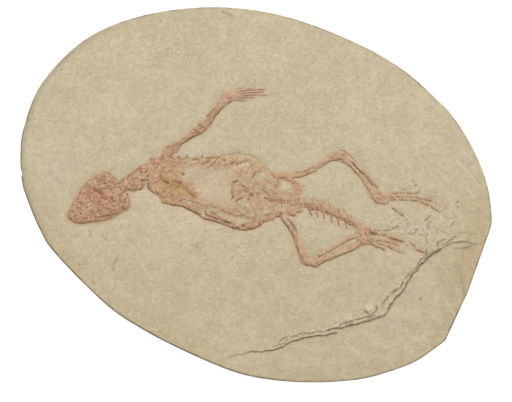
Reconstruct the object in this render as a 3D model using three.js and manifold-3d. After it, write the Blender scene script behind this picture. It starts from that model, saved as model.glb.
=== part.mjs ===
// Fossil skeleton of a small lizard-like reptile, lying on an oval plate of limestone.
// Lengths are in millimetres, +Z is up, and the plate's flat underside lies on z = 0.
// The origin is under the middle of the plate. Seen from above, the head points to -X,
// and the animal's right side lies to +Y.

import * as THREE from 'three';
import { mergeVertices } from 'three/addons/utils/BufferGeometryUtils.js';
import Module from 'manifold-3d';

const wasm = await Module();
wasm.setup();

// The plate, from its underside to the upper bed that carries the skeleton
const PLATE_THICKNESS = 12;
const TOP_BEVEL = 0.8;
const UNDERSIDE_BEVEL = 0.5;
const RIM_STEPS = 84;

// The steps down to the lower beds, and how far their cutters reach past the rim
const LEDGE_DEPTH = 1.1;
const LAMINA_DEPTH = 0.45;
const CUTTER_REACH = 60;
const CUTTER_CLEARANCE = 2;
const CUTTER_HEADING_FIRST = -100;
const CUTTER_HEADING_LAST = -35;
const LEAST_STEP = 0.12;

// The skull's greatest height above the bed, and the spacing of sections along a bone
const SKULL_HEIGHT = 1.7;
const SKULL_LUMPS = 0.14;
const BONE_STEP = 1.4;

// The ends of a bone round off over this share of its half-width, down to this share of its size
const END_LENGTH = 0.45;
const END_SHARE = 0.5;

// A vertebra's waist as a share of its full width
const BEAD_WAIST = 0.72;

// Ribs on each side: their size at the root, the loss at each of their points, and where they bend
const RIB_COUNT = 10;
const RIB_POINTS = 4;
const RIB_HALF_WIDTH = 0.42;
const RIB_HEIGHT = 0.45;
const RIB_TAPER = 0.04;
const RIB_BEND_ALONG = 0.3;
const RIB_BEND_OUT = 0.72;

const BONE_COLOUR = 0xb98f70;
const SKULL_COLOUR = 0xb38f73;
const STONE_COLOUR = 0xc8ba9d;

// The rim, counter-clockwise from the upper end of the straight break on the right
const OVAL_RIM = [
  [94.4, -9.5], [92.6, 3], [86.2, 19], [74.2, 36.2], [58, 51], [36, 62.9], [9, 72.2],
  [-18, 75.6], [-46, 72], [-68.5, 62.6], [-86, 45], [-94.4, 21], [-92.4, 0], [-80, -23.5],
  [-60, -43.8], [-30, -61.6], [0, -72.6], [24, -75.2], [45, -72.8], [62, -67], [76.4, -56.5],
];
const BROKEN_RIM = [[80.2, -47.8], [85, -35.8], [89.6, -23.8], [92.6, -15.6]];

// Chips out of the rim: place, and the radius of the hollow that each one leaves
const RIM_CHIPS = [
  [-95.6, 26, 1.7], [-95.8, 17, 1.4], [-95, 9, 1.6], [-76.6, -30.4, 1.5], [-9, 76.6, 1.8],
  [90.6, -25, 1.7], [83.6, -43, 1.6], [78.6, -55, 2.1], [37, -75.6, 1.5], [70, 42.6, 1.4],
];

// The edge of the lowest bed and the edge of the thin lamina above it, from left to right
const LEDGE_EDGE = [
  [-11.4, -65], [-9.5, -64], [-5, -63.6], [-2, -62.5], [3, -62.2], [6, -62], [10, -60.6],
  [14, -58.4], [18, -57], [24, -56.1], [31.5, -55], [34, -52.8], [38, -51.6], [44, -50.5],
  [48, -49.3], [51.5, -47.8], [53, -44], [56.5, -40], [60, -36], [62.5, -31.5], [67, -26.2],
  [71, -23], [75.5, -20], [80, -18.6], [88, -19.2],
];
const LAMINA_EDGE = [
  [9.5, -58.2], [12.2, -56.5], [18, -55.2], [26, -54.2], [32, -52.6], [36, -50.6], [42, -49],
  [46, -47.6], [48.4, -45.4], [51, -42.6], [54.6, -38.8], [57.4, -36.6], [58.8, -34],
  [60.2, -31.6], [63.6, -28.4], [66, -25.4],
];

// A small round flake that stands on the upper bed beside the ledge
const FLAKE = { x: 45, y: -45, radius: 1.7, height: 0.35 };

const SKULL_OUTLINE = [
  [-76, -8.4], [-74, -10.3], [-70.5, -11.4], [-65, -10.6], [-60, -9.8], [-57, -8.8], [-54, -6.6],
  [-51.2, -5.6], [-51.2, -3], [-52.2, 0.4], [-54, 2.2], [-55.4, 4.6], [-57, 6.8], [-59.4, 9.1],
  [-62, 9.1], [-65, 7.9], [-68, 5.6], [-70.5, 2.4], [-73, -2], [-74.6, -4.8],
];
const SKULL_CENTRE = [-62, -2];
const SKULL_PITS = [
  [-63.6, 1.2, 1.1], [-57.4, -1.4, 1], [-60.6, 4.4, 0.8], [-66.4, -2.4, 0.8], [-62, -5.4, 0.9],
  [-55.6, -4, 0.7], [-69.4, -6, 0.7], [-59.6, -1, 0.6],
];

// Routes of the bones: x, y, half the width, and the height above the bed
const NECK = [[-53.2, 4.9, 1.3, 1], [-50.6, 5, 1.6, 1.2], [-48, 6.5, 1.7, 1.2], [-45.6, 8.6, 1.5, 1.1]];
const NECK_RIBS = [
  [[-51.4, 4.8, 0.5, 0.7], [-50.9, 2.8, 0.4, 0.4]],
  [[-49, 5.4, 0.5, 0.7], [-48.1, 2.9, 0.4, 0.4]],
  [[-47.2, 6.6, 0.5, 0.7], [-46, 3.9, 0.4, 0.4]],
  [[-50.2, 5.6, 0.5, 0.7], [-50.4, 7.7, 0.4, 0.4]],
  [[-48.2, 7, 0.5, 0.7], [-48.7, 9.1, 0.4, 0.4]],
  [[-46.4, 8.6, 0.5, 0.7], [-46.8, 10.8, 0.4, 0.4]],
];
const SHOULDER = [
  [[-41.2, 13.4, 1, 0.7], [-42.5, 10.4, 1.4, 0.9], [-41.9, 6.6, 1.3, 0.9], [-41.2, 3.1, 1.2, 0.8]],
  [[-41.4, 13, 1.1, 0.7], [-37.5, 13.5, 1.5, 0.6], [-33.2, 13.9, 1, 0.5]],
  [[-41, 3.5, 1.2, 0.8], [-38.6, 3.1, 2, 0.8], [-36.4, 2.1, 1.5, 0.7]],
  [[-41.2, 8, 1.4, 0.8], [-37.6, 8.2, 2.6, 0.9], [-35, 6.9, 1.6, 0.7]],
];
const RIGHT_HUMERUS = [
  [-35.2, 17.9, 2.1, 0.8], [-33.3, 19.1, 1.7, 0.9], [-31, 20.6, 0.9, 0.8],
  [-28.6, 22.2, 1, 0.8], [-26, 24, 1.4, 0.9], [-23.9, 25.5, 1.7, 1],
];
const RIGHT_RADIUS = [
  [-22.9, 28, 0.75, 0.7], [-20, 30.9, 0.6, 0.7], [-17.4, 34, 0.6, 0.6], [-14.8, 37.4, 0.65, 0.6],
];
const RIGHT_ULNA = [
  [-21.4, 26.8, 0.8, 0.8], [-19.1, 29.2, 0.6, 0.7], [-16.8, 32.3, 0.6, 0.6], [-13.6, 36.2, 0.65, 0.6],
];
const RIGHT_HAND = [
  [[-12.9, 38.3, 1.3, 0.7], [-11.4, 39.2, 1.7, 0.8], [-9.4, 39.7, 1.4, 0.7]],
  [[-9.6, 40.4, 0.5, 0.5], [-4, 41.4, 0.45, 0.45], [1, 42.1, 0.35, 0.4], [5, 42.6, 0.3, 0.3]],
  [[-9.4, 40, 0.5, 0.5], [-4, 40.6, 0.45, 0.45], [1, 41.1, 0.4, 0.4], [5.4, 41.5, 0.3, 0.3]],
  [[-9.4, 39.5, 0.5, 0.5], [-4, 39.8, 0.4, 0.4], [1.5, 40, 0.35, 0.35], [6, 40.3, 0.3, 0.3]],
  [[-9.6, 39, 0.45, 0.5], [-4.4, 38.9, 0.4, 0.4], [1, 39, 0.3, 0.3]],
  [[-10, 38.8, 0.45, 0.5], [-6.4, 38.1, 0.4, 0.4], [-3, 37.9, 0.3, 0.3]],
];
const LEFT_HUMERUS = [
  [-37, -1.8, 0.9, 0.6], [-33.6, -3, 0.7, 0.6], [-28.6, -4, 0.7, 0.6], [-22.8, -6.7, 1, 0.7],
];
const LEFT_RADIUS = [
  [-20.6, -8.9, 0.6, 0.6], [-15.5, -10.2, 0.55, 0.6], [-11.8, -11.6, 0.55, 0.6], [-8.6, -13, 0.6, 0.6],
];
const LEFT_ULNA = [
  [-20, -7.1, 0.6, 0.6], [-15.6, -8.6, 0.5, 0.55], [-12, -10, 0.5, 0.5], [-9, -11.2, 0.5, 0.5],
];
const LEFT_HAND = [
  [-6.6, -12.9, 0.9, 0.7], [-3.6, -12.3, 1.4, 0.8], [0, -11.2, 1.1, 0.7], [3, -10, 0.7, 0.6],
  [5.4, -9.3, 0.5, 0.5], [7, -9, 0.4, 0.4],
];
const BACKBONE = [
  [-32.9, 5.9, 1, 0.7], [-28, 4.6, 1, 0.6], [-22, 4.8, 0.8, 0.45], [-15, 4.9, 0.8, 0.45],
  [-9.6, 4.4, 1, 0.6], [-5, 2.4, 1.1, 0.7], [0, 0.4, 1.1, 0.7], [3.6, -1, 1.1, 0.7],
];
const RIGHT_FLANK = [[-26.6, 13.6], [-20, 14.7], [-12, 15], [-5, 14.8], [1, 12.4], [4.2, 8.4]];
const LEFT_FLANK = [[-28, -1.6], [-21, -3.7], [-14, -5.5], [-7.6, -7.4], [-2, -8.4], [3, -5.6]];
const PELVIS = [
  [[5.8, -1.7, 1, 0.8], [10, -2.2, 1.2, 0.9], [14, -2.9, 1.2, 0.9], [17.6, -3.5, 1, 0.8]],
  [[6.6, 8.2, 0.9, 0.5], [9.2, 7.4, 1.1, 0.8], [12, 7.1, 1.3, 1], [14.4, 5.2, 1.1, 0.8],
    [16.2, 3, 1.5, 0.8], [15.9, -0.2, 1.2, 0.7], [15, -2.6, 1, 0.7]],
  [[8.6, 6.8, 0.8, 0.6], [8.1, 3.6, 0.7, 0.5], [8.4, 0.4, 0.8, 0.6], [8.8, -1.8, 0.8, 0.6]],
  [[7.6, -2.6, 1, 0.7], [6.6, -4.6, 0.9, 0.6], [7.6, -6.2, 0.8, 0.6], [9, -7.2, 1.1, 0.9]],
  [[12, -3.4, 1, 0.7], [13.6, -6.2, 1.4, 0.8], [14.8, -7.2, 1.1, 0.6]],
  [[15, -3.6, 1, 0.6], [16.9, -5.3, 1.4, 0.8]],
];
const RIGHT_FEMUR = [
  [14.9, 8.1, 1, 0.8], [18, 8.6, 0.9, 0.8], [22, 10.2, 0.9, 0.8], [26, 12.8, 0.95, 0.85],
  [30, 15.2, 1.2, 1], [33, 16.2, 1.7, 1.1],
];
const RIGHT_TIBIA = [
  [35.3, 13.9, 0.8, 0.8], [38.4, 11.6, 0.65, 0.7], [41.6, 8, 0.65, 0.7], [44, 4.6, 0.7, 0.7],
  [45.4, 2.6, 0.75, 0.7],
];
const RIGHT_FIBULA = [
  [36.9, 15, 0.6, 0.7], [39.6, 12.8, 0.55, 0.6], [42.6, 9.6, 0.55, 0.6], [45.4, 6.2, 0.6, 0.6],
  [47.6, 3.8, 0.6, 0.6],
];
const RIGHT_FOOT = [
  [[46.7, 0.3, 1.1, 0.7], [48.6, -1.2, 2, 0.8], [51.4, -1.4, 1.8, 0.7]],
  [[50.6, -2.8, 0.5, 0.5], [54.2, -4.7, 0.35, 0.4], [58.2, -7.5, 0.35, 0.4], [60.4, -9.9, 0.3, 0.3]],
  [[52, -1.4, 0.5, 0.5], [57, -1.4, 0.45, 0.45], [62, -1.6, 0.4, 0.4], [66.4, -2.4, 0.35, 0.4],
    [69, -3.9, 0.35, 0.35], [73, -6.1, 0.35, 0.35], [76.4, -8.6, 0.3, 0.3]],
  [[51.8, -0.3, 0.5, 0.5], [57, -0.1, 0.45, 0.45], [61.6, -0.3, 0.4, 0.4], [65.6, -1, 0.35, 0.35],
    [70.6, -2.1, 0.3, 0.3]],
  [[51.4, 0.2, 0.5, 0.5], [55, 1, 0.45, 0.45], [59.2, 1.5, 0.5, 0.45], [62.2, 1, 0.4, 0.4],
    [65.4, 1.3, 0.3, 0.3]],
];
const LEFT_FEMUR = [
  [11.4, -9.2, 1.2, 0.8], [13.2, -11.6, 1.1, 0.8], [15, -15, 1, 0.8], [16.6, -19, 1, 0.8],
  [18, -22.8, 1.2, 0.9], [19.8, -25.8, 1.6, 1],
];
const LEFT_TIBIA = [
  [23.4, -26.4, 1.2, 0.9], [27, -25.2, 1, 0.8], [31.5, -23.6, 0.9, 0.8], [36, -21.9, 0.9, 0.8],
  [39, -20.4, 0.9, 0.8],
];
const LEFT_FIBULA = [
  [25, -23.6, 0.7, 0.7], [28.4, -21.9, 0.6, 0.6], [31.6, -19.9, 0.55, 0.6], [35, -18, 0.55, 0.6],
  [38.5, -16.6, 0.6, 0.6],
];
const LEFT_FOOT = [
  [[41.6, -13.4, 1.5, 0.8], [42.3, -15.6, 2.2, 1], [42.2, -18, 1.9, 0.9]],
  [[43.4, -18.2, 0.6, 0.5], [46.2, -19.2, 0.5, 0.5], [49, -20.4, 0.4, 0.4], [51.6, -21.8, 0.35, 0.35]],
  [[43.8, -17.4, 0.6, 0.5], [47.5, -18.4, 0.5, 0.5], [51.4, -19.6, 0.45, 0.4],
    [54.2, -21.2, 0.35, 0.35], [58.5, -23, 0.3, 0.3]],
  [[44, -16.7, 0.6, 0.5], [48, -17.5, 0.5, 0.5], [52, -18.1, 0.45, 0.4], [57.6, -20, 0.35, 0.3]],
  [[42.6, -13.2, 0.5, 0.5], [47.4, -13.6, 0.35, 0.4], [52.6, -13.9, 0.3, 0.35],
    [55.4, -12.8, 0.3, 0.3], [57.2, -11.7, 0.3, 0.3]],
];
const TAIL_BASE = [
  [19.4, -3.9, 1, 0.9], [22.6, -4.4, 1, 0.9], [26, -5.5, 1, 0.85], [29.5, -6.9, 0.95, 0.8],
  [33, -8.4, 0.85, 0.75], [36.2, -10.1, 0.75, 0.7], [38.6, -11.5, 0.6, 0.6],
];
const TAIL_SPINES = [
  [[20.8, -4.9, 0.4, 0.5], [22.2, -8, 0.3, 0.3]], [[24, -5.4, 0.4, 0.5], [24.6, -8.8, 0.3, 0.3]],
  [[26.8, -6.2, 0.4, 0.5], [27.2, -9.6, 0.3, 0.3]], [[29.7, -7.4, 0.4, 0.5], [30.2, -10.8, 0.3, 0.3]],
  [[32.6, -8.8, 0.4, 0.5], [33.1, -11.8, 0.3, 0.3]], [[35.6, -10.4, 0.4, 0.5], [36.1, -13.2, 0.3, 0.3]],
  [[25.6, -5, 0.4, 0.5], [26.4, -2.6, 0.3, 0.3]], [[29, -6.2, 0.4, 0.5], [29.6, -3.6, 0.3, 0.3]],
  [[32.4, -7.8, 0.4, 0.5], [33.2, -5.4, 0.3, 0.3]],
];
const TAIL_END = [
  [46, -15.2, 0.7, 0.6], [49.5, -15.5, 0.7, 0.6], [53, -16.3, 0.6, 0.5], [57, -17.5, 0.5, 0.5],
  [60.4, -19.2, 0.5, 0.45], [63.8, -20.9, 0.55, 0.45], [67.2, -22.4, 0.5, 0.4],
];

// Sections across a bone, as shares of its half-width and its height
const ROUND_SECTION = [[-1, 0], [-0.78, 0.62], [0, 1], [0.78, 0.62], [1, 0]];
const SHARP_SECTION = [[-1, 0], [0, 1], [1, 0]];

function geometryFrom(points, triangles) {
  const geometry = new THREE.BufferGeometry();
  const positions = points.flatMap((p) => [p.x, p.y, p.z]);
  geometry.setAttribute('position', new THREE.Float32BufferAttribute(positions, 3));
  geometry.setIndex(triangles.flat());
  return geometry;
}

// A closed skin over rings of equal length, with a fan of triangles across each end
function loft(rings) {
  const count = rings[0].length;
  const triangles = [];
  for (let ring = 0; ring < rings.length - 1; ring++) {
    for (let i = 0; i < count; i++) {
      const a = ring * count + i;
      const d = ring * count + (i + 1) % count;
      triangles.push([a, a + count, d + count], [a, d + count, d]);
    }
  }
  const last = (rings.length - 1) * count;
  for (let i = 1; i < count - 1; i++) {
    triangles.push([0, i, i + 1], [last, last + i + 1, last + i]);
  }
  return geometryFrom(rings.flat(), triangles);
}

// Level loops joined from the lowest to the highest, each counter-clockwise seen from above
function stack(loops) {
  const count = loops[0].length;
  const last = (loops.length - 1) * count;
  const triangles = [];
  for (let base = 0; base < last; base += count) {
    for (let i = 0; i < count; i++) {
      const a = base + i;
      const b = base + (i + 1) % count;
      triangles.push([a, b, b + count], [a, b + count, a + count]);
    }
  }
  for (const [loop, offset, isTop] of [[loops[0], 0, false], [loops.at(-1), last, true]]) {
    for (const [i, j, k] of THREE.ShapeUtils.triangulateShape(loop, [])) {
      const facesUp = THREE.ShapeUtils.area([loop[i], loop[j], loop[k]]) > 0;
      const face = facesUp === isTop ? [i, j, k] : [i, k, j];
      triangles.push(face.map((index) => index + offset));
    }
  }
  return geometryFrom(loops.flat(), triangles);
}

function curveThrough(points) {
  const places = points.map(([x, y, z = 0]) => new THREE.Vector3(x, y, z));
  return new THREE.CatmullRomCurve3(places, false, 'centripetal');
}

// A long bone half sunk in the bed: an arched ridge along its route with a flat underside
function ridge(route, { section = ROUND_SECTION, step = BONE_STEP, beads = 0 } = {}) {
  const centre = curveThrough(route);
  const sizes = curveThrough(route.map(([, , halfWidth, height]) => [halfWidth, height]));
  const steps = beads ? beads * 4 : Math.ceil(centre.getLength() / step);
  const rings = [];
  const addRing = (t, setBack, share) => {
    const place = centre.getPoint(t);
    const along = centre.getTangent(t);
    const size = sizes.getPoint(t);
    const bulge = beads ? Math.abs(Math.sin(Math.PI * beads * t)) : 1;
    const swelling = THREE.MathUtils.lerp(BEAD_WAIST, 1, bulge);
    const halfWidth = size.x * share * swelling;
    const height = size.y * share * swelling;
    place.addScaledVector(along, setBack * size.x * END_LENGTH);
    rings.push(section.map(([side, up]) => new THREE.Vector3(
      place.x - along.y * halfWidth * side,
      place.y + along.x * halfWidth * side,
      PLATE_THICKNESS + height * up,
    )));
  };
  addRing(0, -1, END_SHARE);
  for (let i = 0; i <= steps; i++) addRing(i / steps, 0, 1);
  addRing(1, 1, END_SHARE);
  return loft(rings);
}

function toSolid(geometry) {
  geometry.deleteAttribute('normal');
  geometry.deleteAttribute('uv');
  const merged = mergeVertices(geometry);
  return new wasm.Manifold(new wasm.Mesh({
    numProp: 3,
    vertProperties: merged.attributes.position.array,
    triVerts: new Uint32Array(merged.index.array),
  }));
}

function toGeometry(solid) {
  const mesh = solid.getMesh();
  const geometry = new THREE.BufferGeometry();
  geometry.setAttribute('position', new THREE.BufferAttribute(mesh.vertProperties, 3));
  geometry.setIndex(new THREE.BufferAttribute(mesh.triVerts, 1));
  return geometry;
}

function join(geometries) {
  return geometries.map(toSolid).reduce((whole, part) => whole.add(part));
}

function cut(solid, geometries) {
  return geometries.map(toSolid).reduce((rest, tool) => rest.subtract(tool), solid);
}

function ball(x, y, z, radius) {
  return new THREE.IcosahedronGeometry(radius, 1).translate(x, y, z);
}

// The outline moved inwards by an inset, as a level loop at the height z
function rimLoop(inset, z) {
  const oval = curveThrough(OVAL_RIM).getPoints(RIM_STEPS);
  const broken = BROKEN_RIM.map(([x, y]) => new THREE.Vector3(x, y, 0));
  const points = [...oval, ...broken];
  return points.map((point, i) => {
    const before = points.at(i - 1);
    const after = points[(i + 1) % points.length];
    const along = new THREE.Vector3().subVectors(after, before).normalize();
    return new THREE.Vector3(point.x - along.y * inset, point.y + along.x * inset, z);
  });
}

// A solid that takes the bed away to the lower right of an edge. Its depth fades at both ends.
function bedCutter(edge, depth) {
  const top = PLATE_THICKNESS + CUTTER_CLEARANCE;
  return loft(edge.map(([x, y], i) => {
    const t = i / (edge.length - 1);
    const rise = THREE.MathUtils.smoothstep(Math.min(t / 0.25, (1 - t) / 0.2), 0, 1);
    const floor = PLATE_THICKNESS - depth * THREE.MathUtils.lerp(LEAST_STEP, 1, rise);
    const degrees = THREE.MathUtils.lerp(CUTTER_HEADING_FIRST, CUTTER_HEADING_LAST, t);
    const heading = THREE.MathUtils.degToRad(degrees);
    const farX = x + CUTTER_REACH * Math.cos(heading);
    const farY = y + CUTTER_REACH * Math.sin(heading);
    return [
      new THREE.Vector3(farX, farY, floor),
      new THREE.Vector3(farX, farY, top),
      new THREE.Vector3(x, y, top),
      new THREE.Vector3(x, y, floor),
    ];
  }));
}

function plateSolid() {
  const block = toSolid(stack([
    rimLoop(UNDERSIDE_BEVEL, 0),
    rimLoop(0, UNDERSIDE_BEVEL),
    rimLoop(0, PLATE_THICKNESS - TOP_BEVEL),
    rimLoop(TOP_BEVEL, PLATE_THICKNESS),
  ]));
  const chips = RIM_CHIPS.map(([x, y, radius]) => ball(x, y, PLATE_THICKNESS, radius));
  const stepped = cut(block, [
    bedCutter(LEDGE_EDGE, LEDGE_DEPTH),
    bedCutter(LAMINA_EDGE, LAMINA_DEPTH),
    ...chips,
  ]);
  const flake = new THREE.CylinderGeometry(FLAKE.radius * 0.8, FLAKE.radius, FLAKE.height * 2, 12)
    .rotateX(Math.PI / 2)
    .translate(FLAKE.x, FLAKE.y, PLATE_THICKNESS);
  return stepped.add(toSolid(flake));
}

// A crushed skull: a low dome over its outline with a lumpy roof, and pits for its openings
function skullSolid() {
  const [centreX, centreY] = SKULL_CENTRE;
  const roof = SKULL_HEIGHT / (1 + SKULL_LUMPS);
  const shells = [[1, 0], [0.92, 0.52], [0.74, 0.85], [0.48, 0.97], [0.2, 1]];
  const dome = stack(shells.map(([spread, rise]) => SKULL_OUTLINE.map(([outlineX, outlineY]) => {
    const x = centreX + (outlineX - centreX) * spread;
    const y = centreY + (outlineY - centreY) * spread;
    const lumps = 1 + SKULL_LUMPS * Math.sin(1.3 * x + 0.7 * y) * Math.cos(1.1 * y - 0.4 * x);
    return new THREE.Vector3(x, y, PLATE_THICKNESS + roof * rise * lumps);
  })));
  const pits = SKULL_PITS.map(([x, y, radius]) => ball(x, y, PLATE_THICKNESS + SKULL_HEIGHT, radius));
  return cut(toSolid(dome), pits);
}

// The trunk: a row of vertebrae, and ribs that sweep back from it to each flank
function trunkSolid() {
  const backbone = curveThrough(BACKBONE.map(([x, y]) => [x, y]));
  const ribs = [];
  for (const flank of [RIGHT_FLANK, LEFT_FLANK].map(curveThrough)) {
    for (let i = 0; i < RIB_COUNT; i++) {
      const share = i / (RIB_COUNT - 1);
      const root = backbone.getPoint(THREE.MathUtils.lerp(0.04, 0.94, share));
      const tip = flank.getPoint(share);
      const bend = new THREE.Vector3(
        THREE.MathUtils.lerp(root.x, tip.x, RIB_BEND_ALONG),
        THREE.MathUtils.lerp(root.y, tip.y, RIB_BEND_OUT),
        0,
      );
      const sweep = new THREE.QuadraticBezierCurve3(root, bend, tip).getPoints(RIB_POINTS);
      const route = sweep.map(({ x, y }, k) => {
        const loss = RIB_TAPER * k;
        return [x, y, RIB_HALF_WIDTH - loss, RIB_HEIGHT - loss];
      });
      ribs.push(ridge(route, { section: SHARP_SECTION, step: 2.8 }));
    }
  }
  return join([ridge(BACKBONE, { beads: 16 }), ...ribs]);
}

function straightBone(route) {
  return toSolid(ridge(route));
}

function plates(routes) {
  return join(routes.map((route) => ridge(route)));
}

// Wrist or ankle bones first, then the fingers or toes that spread from them
function extremity([base, ...digits]) {
  return join([ridge(base), ...digits.map((digit) => ridge(digit, { section: SHARP_SECTION, step: 1.6 }))]);
}

function column(route, beads, spines = []) {
  const blades = spines.map((spine) => ridge(spine, { section: SHARP_SECTION }));
  return join([ridge(route, { beads }), ...blades]);
}

const stone = new THREE.MeshStandardMaterial({ color: STONE_COLOUR, roughness: 0.85, metalness: 0 });
const bone = new THREE.MeshStandardMaterial({ color: BONE_COLOUR, roughness: 0.7, metalness: 0 });
const skullBone = new THREE.MeshStandardMaterial({ color: SKULL_COLOUR, roughness: 0.7, metalness: 0 });

const pieces = [
  ['limestone_plate', plateSolid(), stone],
  ['skull', skullSolid(), skullBone],
  ['neck_vertebrae', column(NECK, 4, NECK_RIBS), bone],
  ['shoulder_girdle', plates(SHOULDER), bone],
  ['right_humerus', straightBone(RIGHT_HUMERUS), bone],
  ['right_radius', straightBone(RIGHT_RADIUS), bone],
  ['right_ulna', straightBone(RIGHT_ULNA), bone],
  ['right_hand', extremity(RIGHT_HAND), bone],
  ['left_humerus', straightBone(LEFT_HUMERUS), bone],
  ['left_radius', straightBone(LEFT_RADIUS), bone],
  ['left_ulna', straightBone(LEFT_ULNA), bone],
  ['left_hand', straightBone(LEFT_HAND), bone],
  ['rib_cage', trunkSolid(), bone],
  ['pelvis', plates(PELVIS), bone],
  ['right_femur', straightBone(RIGHT_FEMUR), bone],
  ['right_tibia', straightBone(RIGHT_TIBIA), bone],
  ['right_fibula', straightBone(RIGHT_FIBULA), bone],
  ['right_foot', extremity(RIGHT_FOOT), bone],
  ['left_femur', straightBone(LEFT_FEMUR), bone],
  ['left_tibia', straightBone(LEFT_TIBIA), bone],
  ['left_fibula', straightBone(LEFT_FIBULA), bone],
  ['left_foot', extremity(LEFT_FOOT), bone],
  ['tail_base_vertebrae', column(TAIL_BASE, 11, TAIL_SPINES), bone],
  ['tail_end_vertebrae', column(TAIL_END, 9), bone],
];

const fossil = new THREE.Group();
for (const [name, solid, material] of pieces) {
  const mesh = new THREE.Mesh(toGeometry(solid), material);
  mesh.name = name;
  fossil.add(mesh);
}

export default fossil;
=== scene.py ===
# %% [markdown]
# # A fossil reptile on its plate of limestone
# A small lizard-like animal sank into lime mud. The mud became stone, and the bones stayed in it as
# a low relief that is hardly a millimetre high. This lesson dresses the plain solids of that fossil.
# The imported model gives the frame: every place here is in its coordinates, with the underside of the
# plate on z = 0 and the upper bed at 12 mm. Lists of places are in millimetres and are turned into
# metres, Blender's own unit, when a mesh is made.

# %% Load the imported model
import math
import bpy
import numpy as np
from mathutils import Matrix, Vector, noise
from mathutils.geometry import delaunay_2d_cdt


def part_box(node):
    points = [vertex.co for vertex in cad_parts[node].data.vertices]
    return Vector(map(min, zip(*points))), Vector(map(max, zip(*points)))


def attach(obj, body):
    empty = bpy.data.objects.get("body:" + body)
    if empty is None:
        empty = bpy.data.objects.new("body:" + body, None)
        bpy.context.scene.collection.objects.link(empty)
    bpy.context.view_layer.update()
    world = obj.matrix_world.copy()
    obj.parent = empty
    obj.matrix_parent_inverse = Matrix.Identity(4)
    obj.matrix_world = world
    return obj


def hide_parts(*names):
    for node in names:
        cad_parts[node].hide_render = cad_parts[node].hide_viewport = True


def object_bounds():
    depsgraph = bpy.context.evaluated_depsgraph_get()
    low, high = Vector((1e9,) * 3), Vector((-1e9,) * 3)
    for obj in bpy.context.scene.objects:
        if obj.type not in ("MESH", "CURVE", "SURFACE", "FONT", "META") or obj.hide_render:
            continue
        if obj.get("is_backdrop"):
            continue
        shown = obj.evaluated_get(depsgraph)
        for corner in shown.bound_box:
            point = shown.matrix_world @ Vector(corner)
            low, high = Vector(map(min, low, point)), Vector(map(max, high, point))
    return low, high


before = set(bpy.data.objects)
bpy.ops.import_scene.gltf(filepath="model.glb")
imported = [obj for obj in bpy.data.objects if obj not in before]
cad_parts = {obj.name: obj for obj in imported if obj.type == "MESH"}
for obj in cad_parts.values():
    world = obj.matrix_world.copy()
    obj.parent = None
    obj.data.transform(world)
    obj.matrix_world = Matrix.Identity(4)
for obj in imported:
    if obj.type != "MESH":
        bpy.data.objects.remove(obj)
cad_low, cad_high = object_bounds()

MM = 0.001
print("CAD box in mm:", [round(side / MM, 1) for side in cad_high - cad_low])

# %% [markdown]
# ## The camera
# The plate was photographed from straight above with a long lens, so its sides hardly show. A camera
# that looks down needs no turning in Blender, because it looks along its own -Z. Its distance comes
# from the width of the picture at the upper bed: width = sensor / lens * distance.

# %% The camera above the plate
BED = 12.0
PICTURE_WIDTH = 204.8
PICTURE_CENTRE = (-0.2, -2.2)
SENSOR = 36.0
LENS = 100.0


def place_camera():
    data = bpy.data.cameras.new("camera_above")
    data.sensor_width = SENSOR
    data.lens = LENS
    camera = bpy.data.objects.new("camera_above", data)
    distance = PICTURE_WIDTH * LENS / SENSOR
    camera.location = Vector((*PICTURE_CENTRE, BED + distance)) * MM
    bpy.context.scene.collection.objects.link(camera)
    bpy.context.scene.camera = camera
    return camera


camera = place_camera()
print("Camera height in mm:", round(camera.location.z / MM))

# %% [markdown]
# ## The light and the floor
# A relief this low shows only under a light that comes in from one side. Here it falls from the top
# of the picture, so each bone has its shade on the lower side. A sun lamp has parallel rays, and its
# angle softens the edge of the shade. The world's light fills the shade from all sides. The floor
# glows a little, so the plate's shadow on it stays pale.

# %% A low sun, a pale world and a pale floor
SUN_HEIGHT = math.radians(54)
SUN_EAST_OF_NORTH = math.radians(12)
SUN_STRENGTH = 2.2
SUN_SOFTNESS = math.radians(16)
WORLD_STRENGTH = 0.44
FLOOR_SIZE = 6.0
FLOOR_GLOW = 0.95


def place_sun():
    data = bpy.data.lights.new("low_sun", "SUN")
    data.energy = SUN_STRENGTH
    data.angle = SUN_SOFTNESS
    sun = bpy.data.objects.new("low_sun", data)
    towards_sun = Vector((
        math.sin(SUN_EAST_OF_NORTH) * math.cos(SUN_HEIGHT),
        math.cos(SUN_EAST_OF_NORTH) * math.cos(SUN_HEIGHT),
        math.sin(SUN_HEIGHT),
    ))
    sun.rotation_euler = towards_sun.to_track_quat("Z", "Y").to_euler()
    bpy.context.scene.collection.objects.link(sun)


def pale_world():
    world = bpy.data.worlds.new("pale_world")
    world.use_nodes = True
    background = world.node_tree.nodes["Background"]
    background.inputs["Color"].default_value = (1.0, 1.0, 1.0, 1.0)
    background.inputs["Strength"].default_value = WORLD_STRENGTH
    bpy.context.scene.world = world


def pale_floor():
    half = FLOOR_SIZE / 2
    mesh = bpy.data.meshes.new("pale_floor")
    corners = [(-half, -half, 0), (half, -half, 0), (half, half, 0), (-half, half, 0)]
    mesh.from_pydata(corners, [], [(0, 1, 2, 3)])
    material = bpy.data.materials.new("pale_paper")
    material.use_nodes = True
    shader = material.node_tree.nodes["Principled BSDF"]
    shader.inputs["Base Color"].default_value = (0.3, 0.3, 0.3, 1.0)
    shader.inputs["Roughness"].default_value = 0.9
    shader.inputs["Emission Color"].default_value = (1.0, 1.0, 1.0, 1.0)
    shader.inputs["Emission Strength"].default_value = FLOOR_GLOW
    mesh.materials.append(material)
    floor = bpy.data.objects.new("pale_floor", mesh)
    bpy.context.scene.collection.objects.link(floor)
    return floor


place_sun()
pale_world()
pale_floor()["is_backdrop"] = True
bpy.context.scene.view_settings.view_transform = "Standard"
print("Lit by one sun", round(math.degrees(SUN_HEIGHT)), "degrees high")

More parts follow.
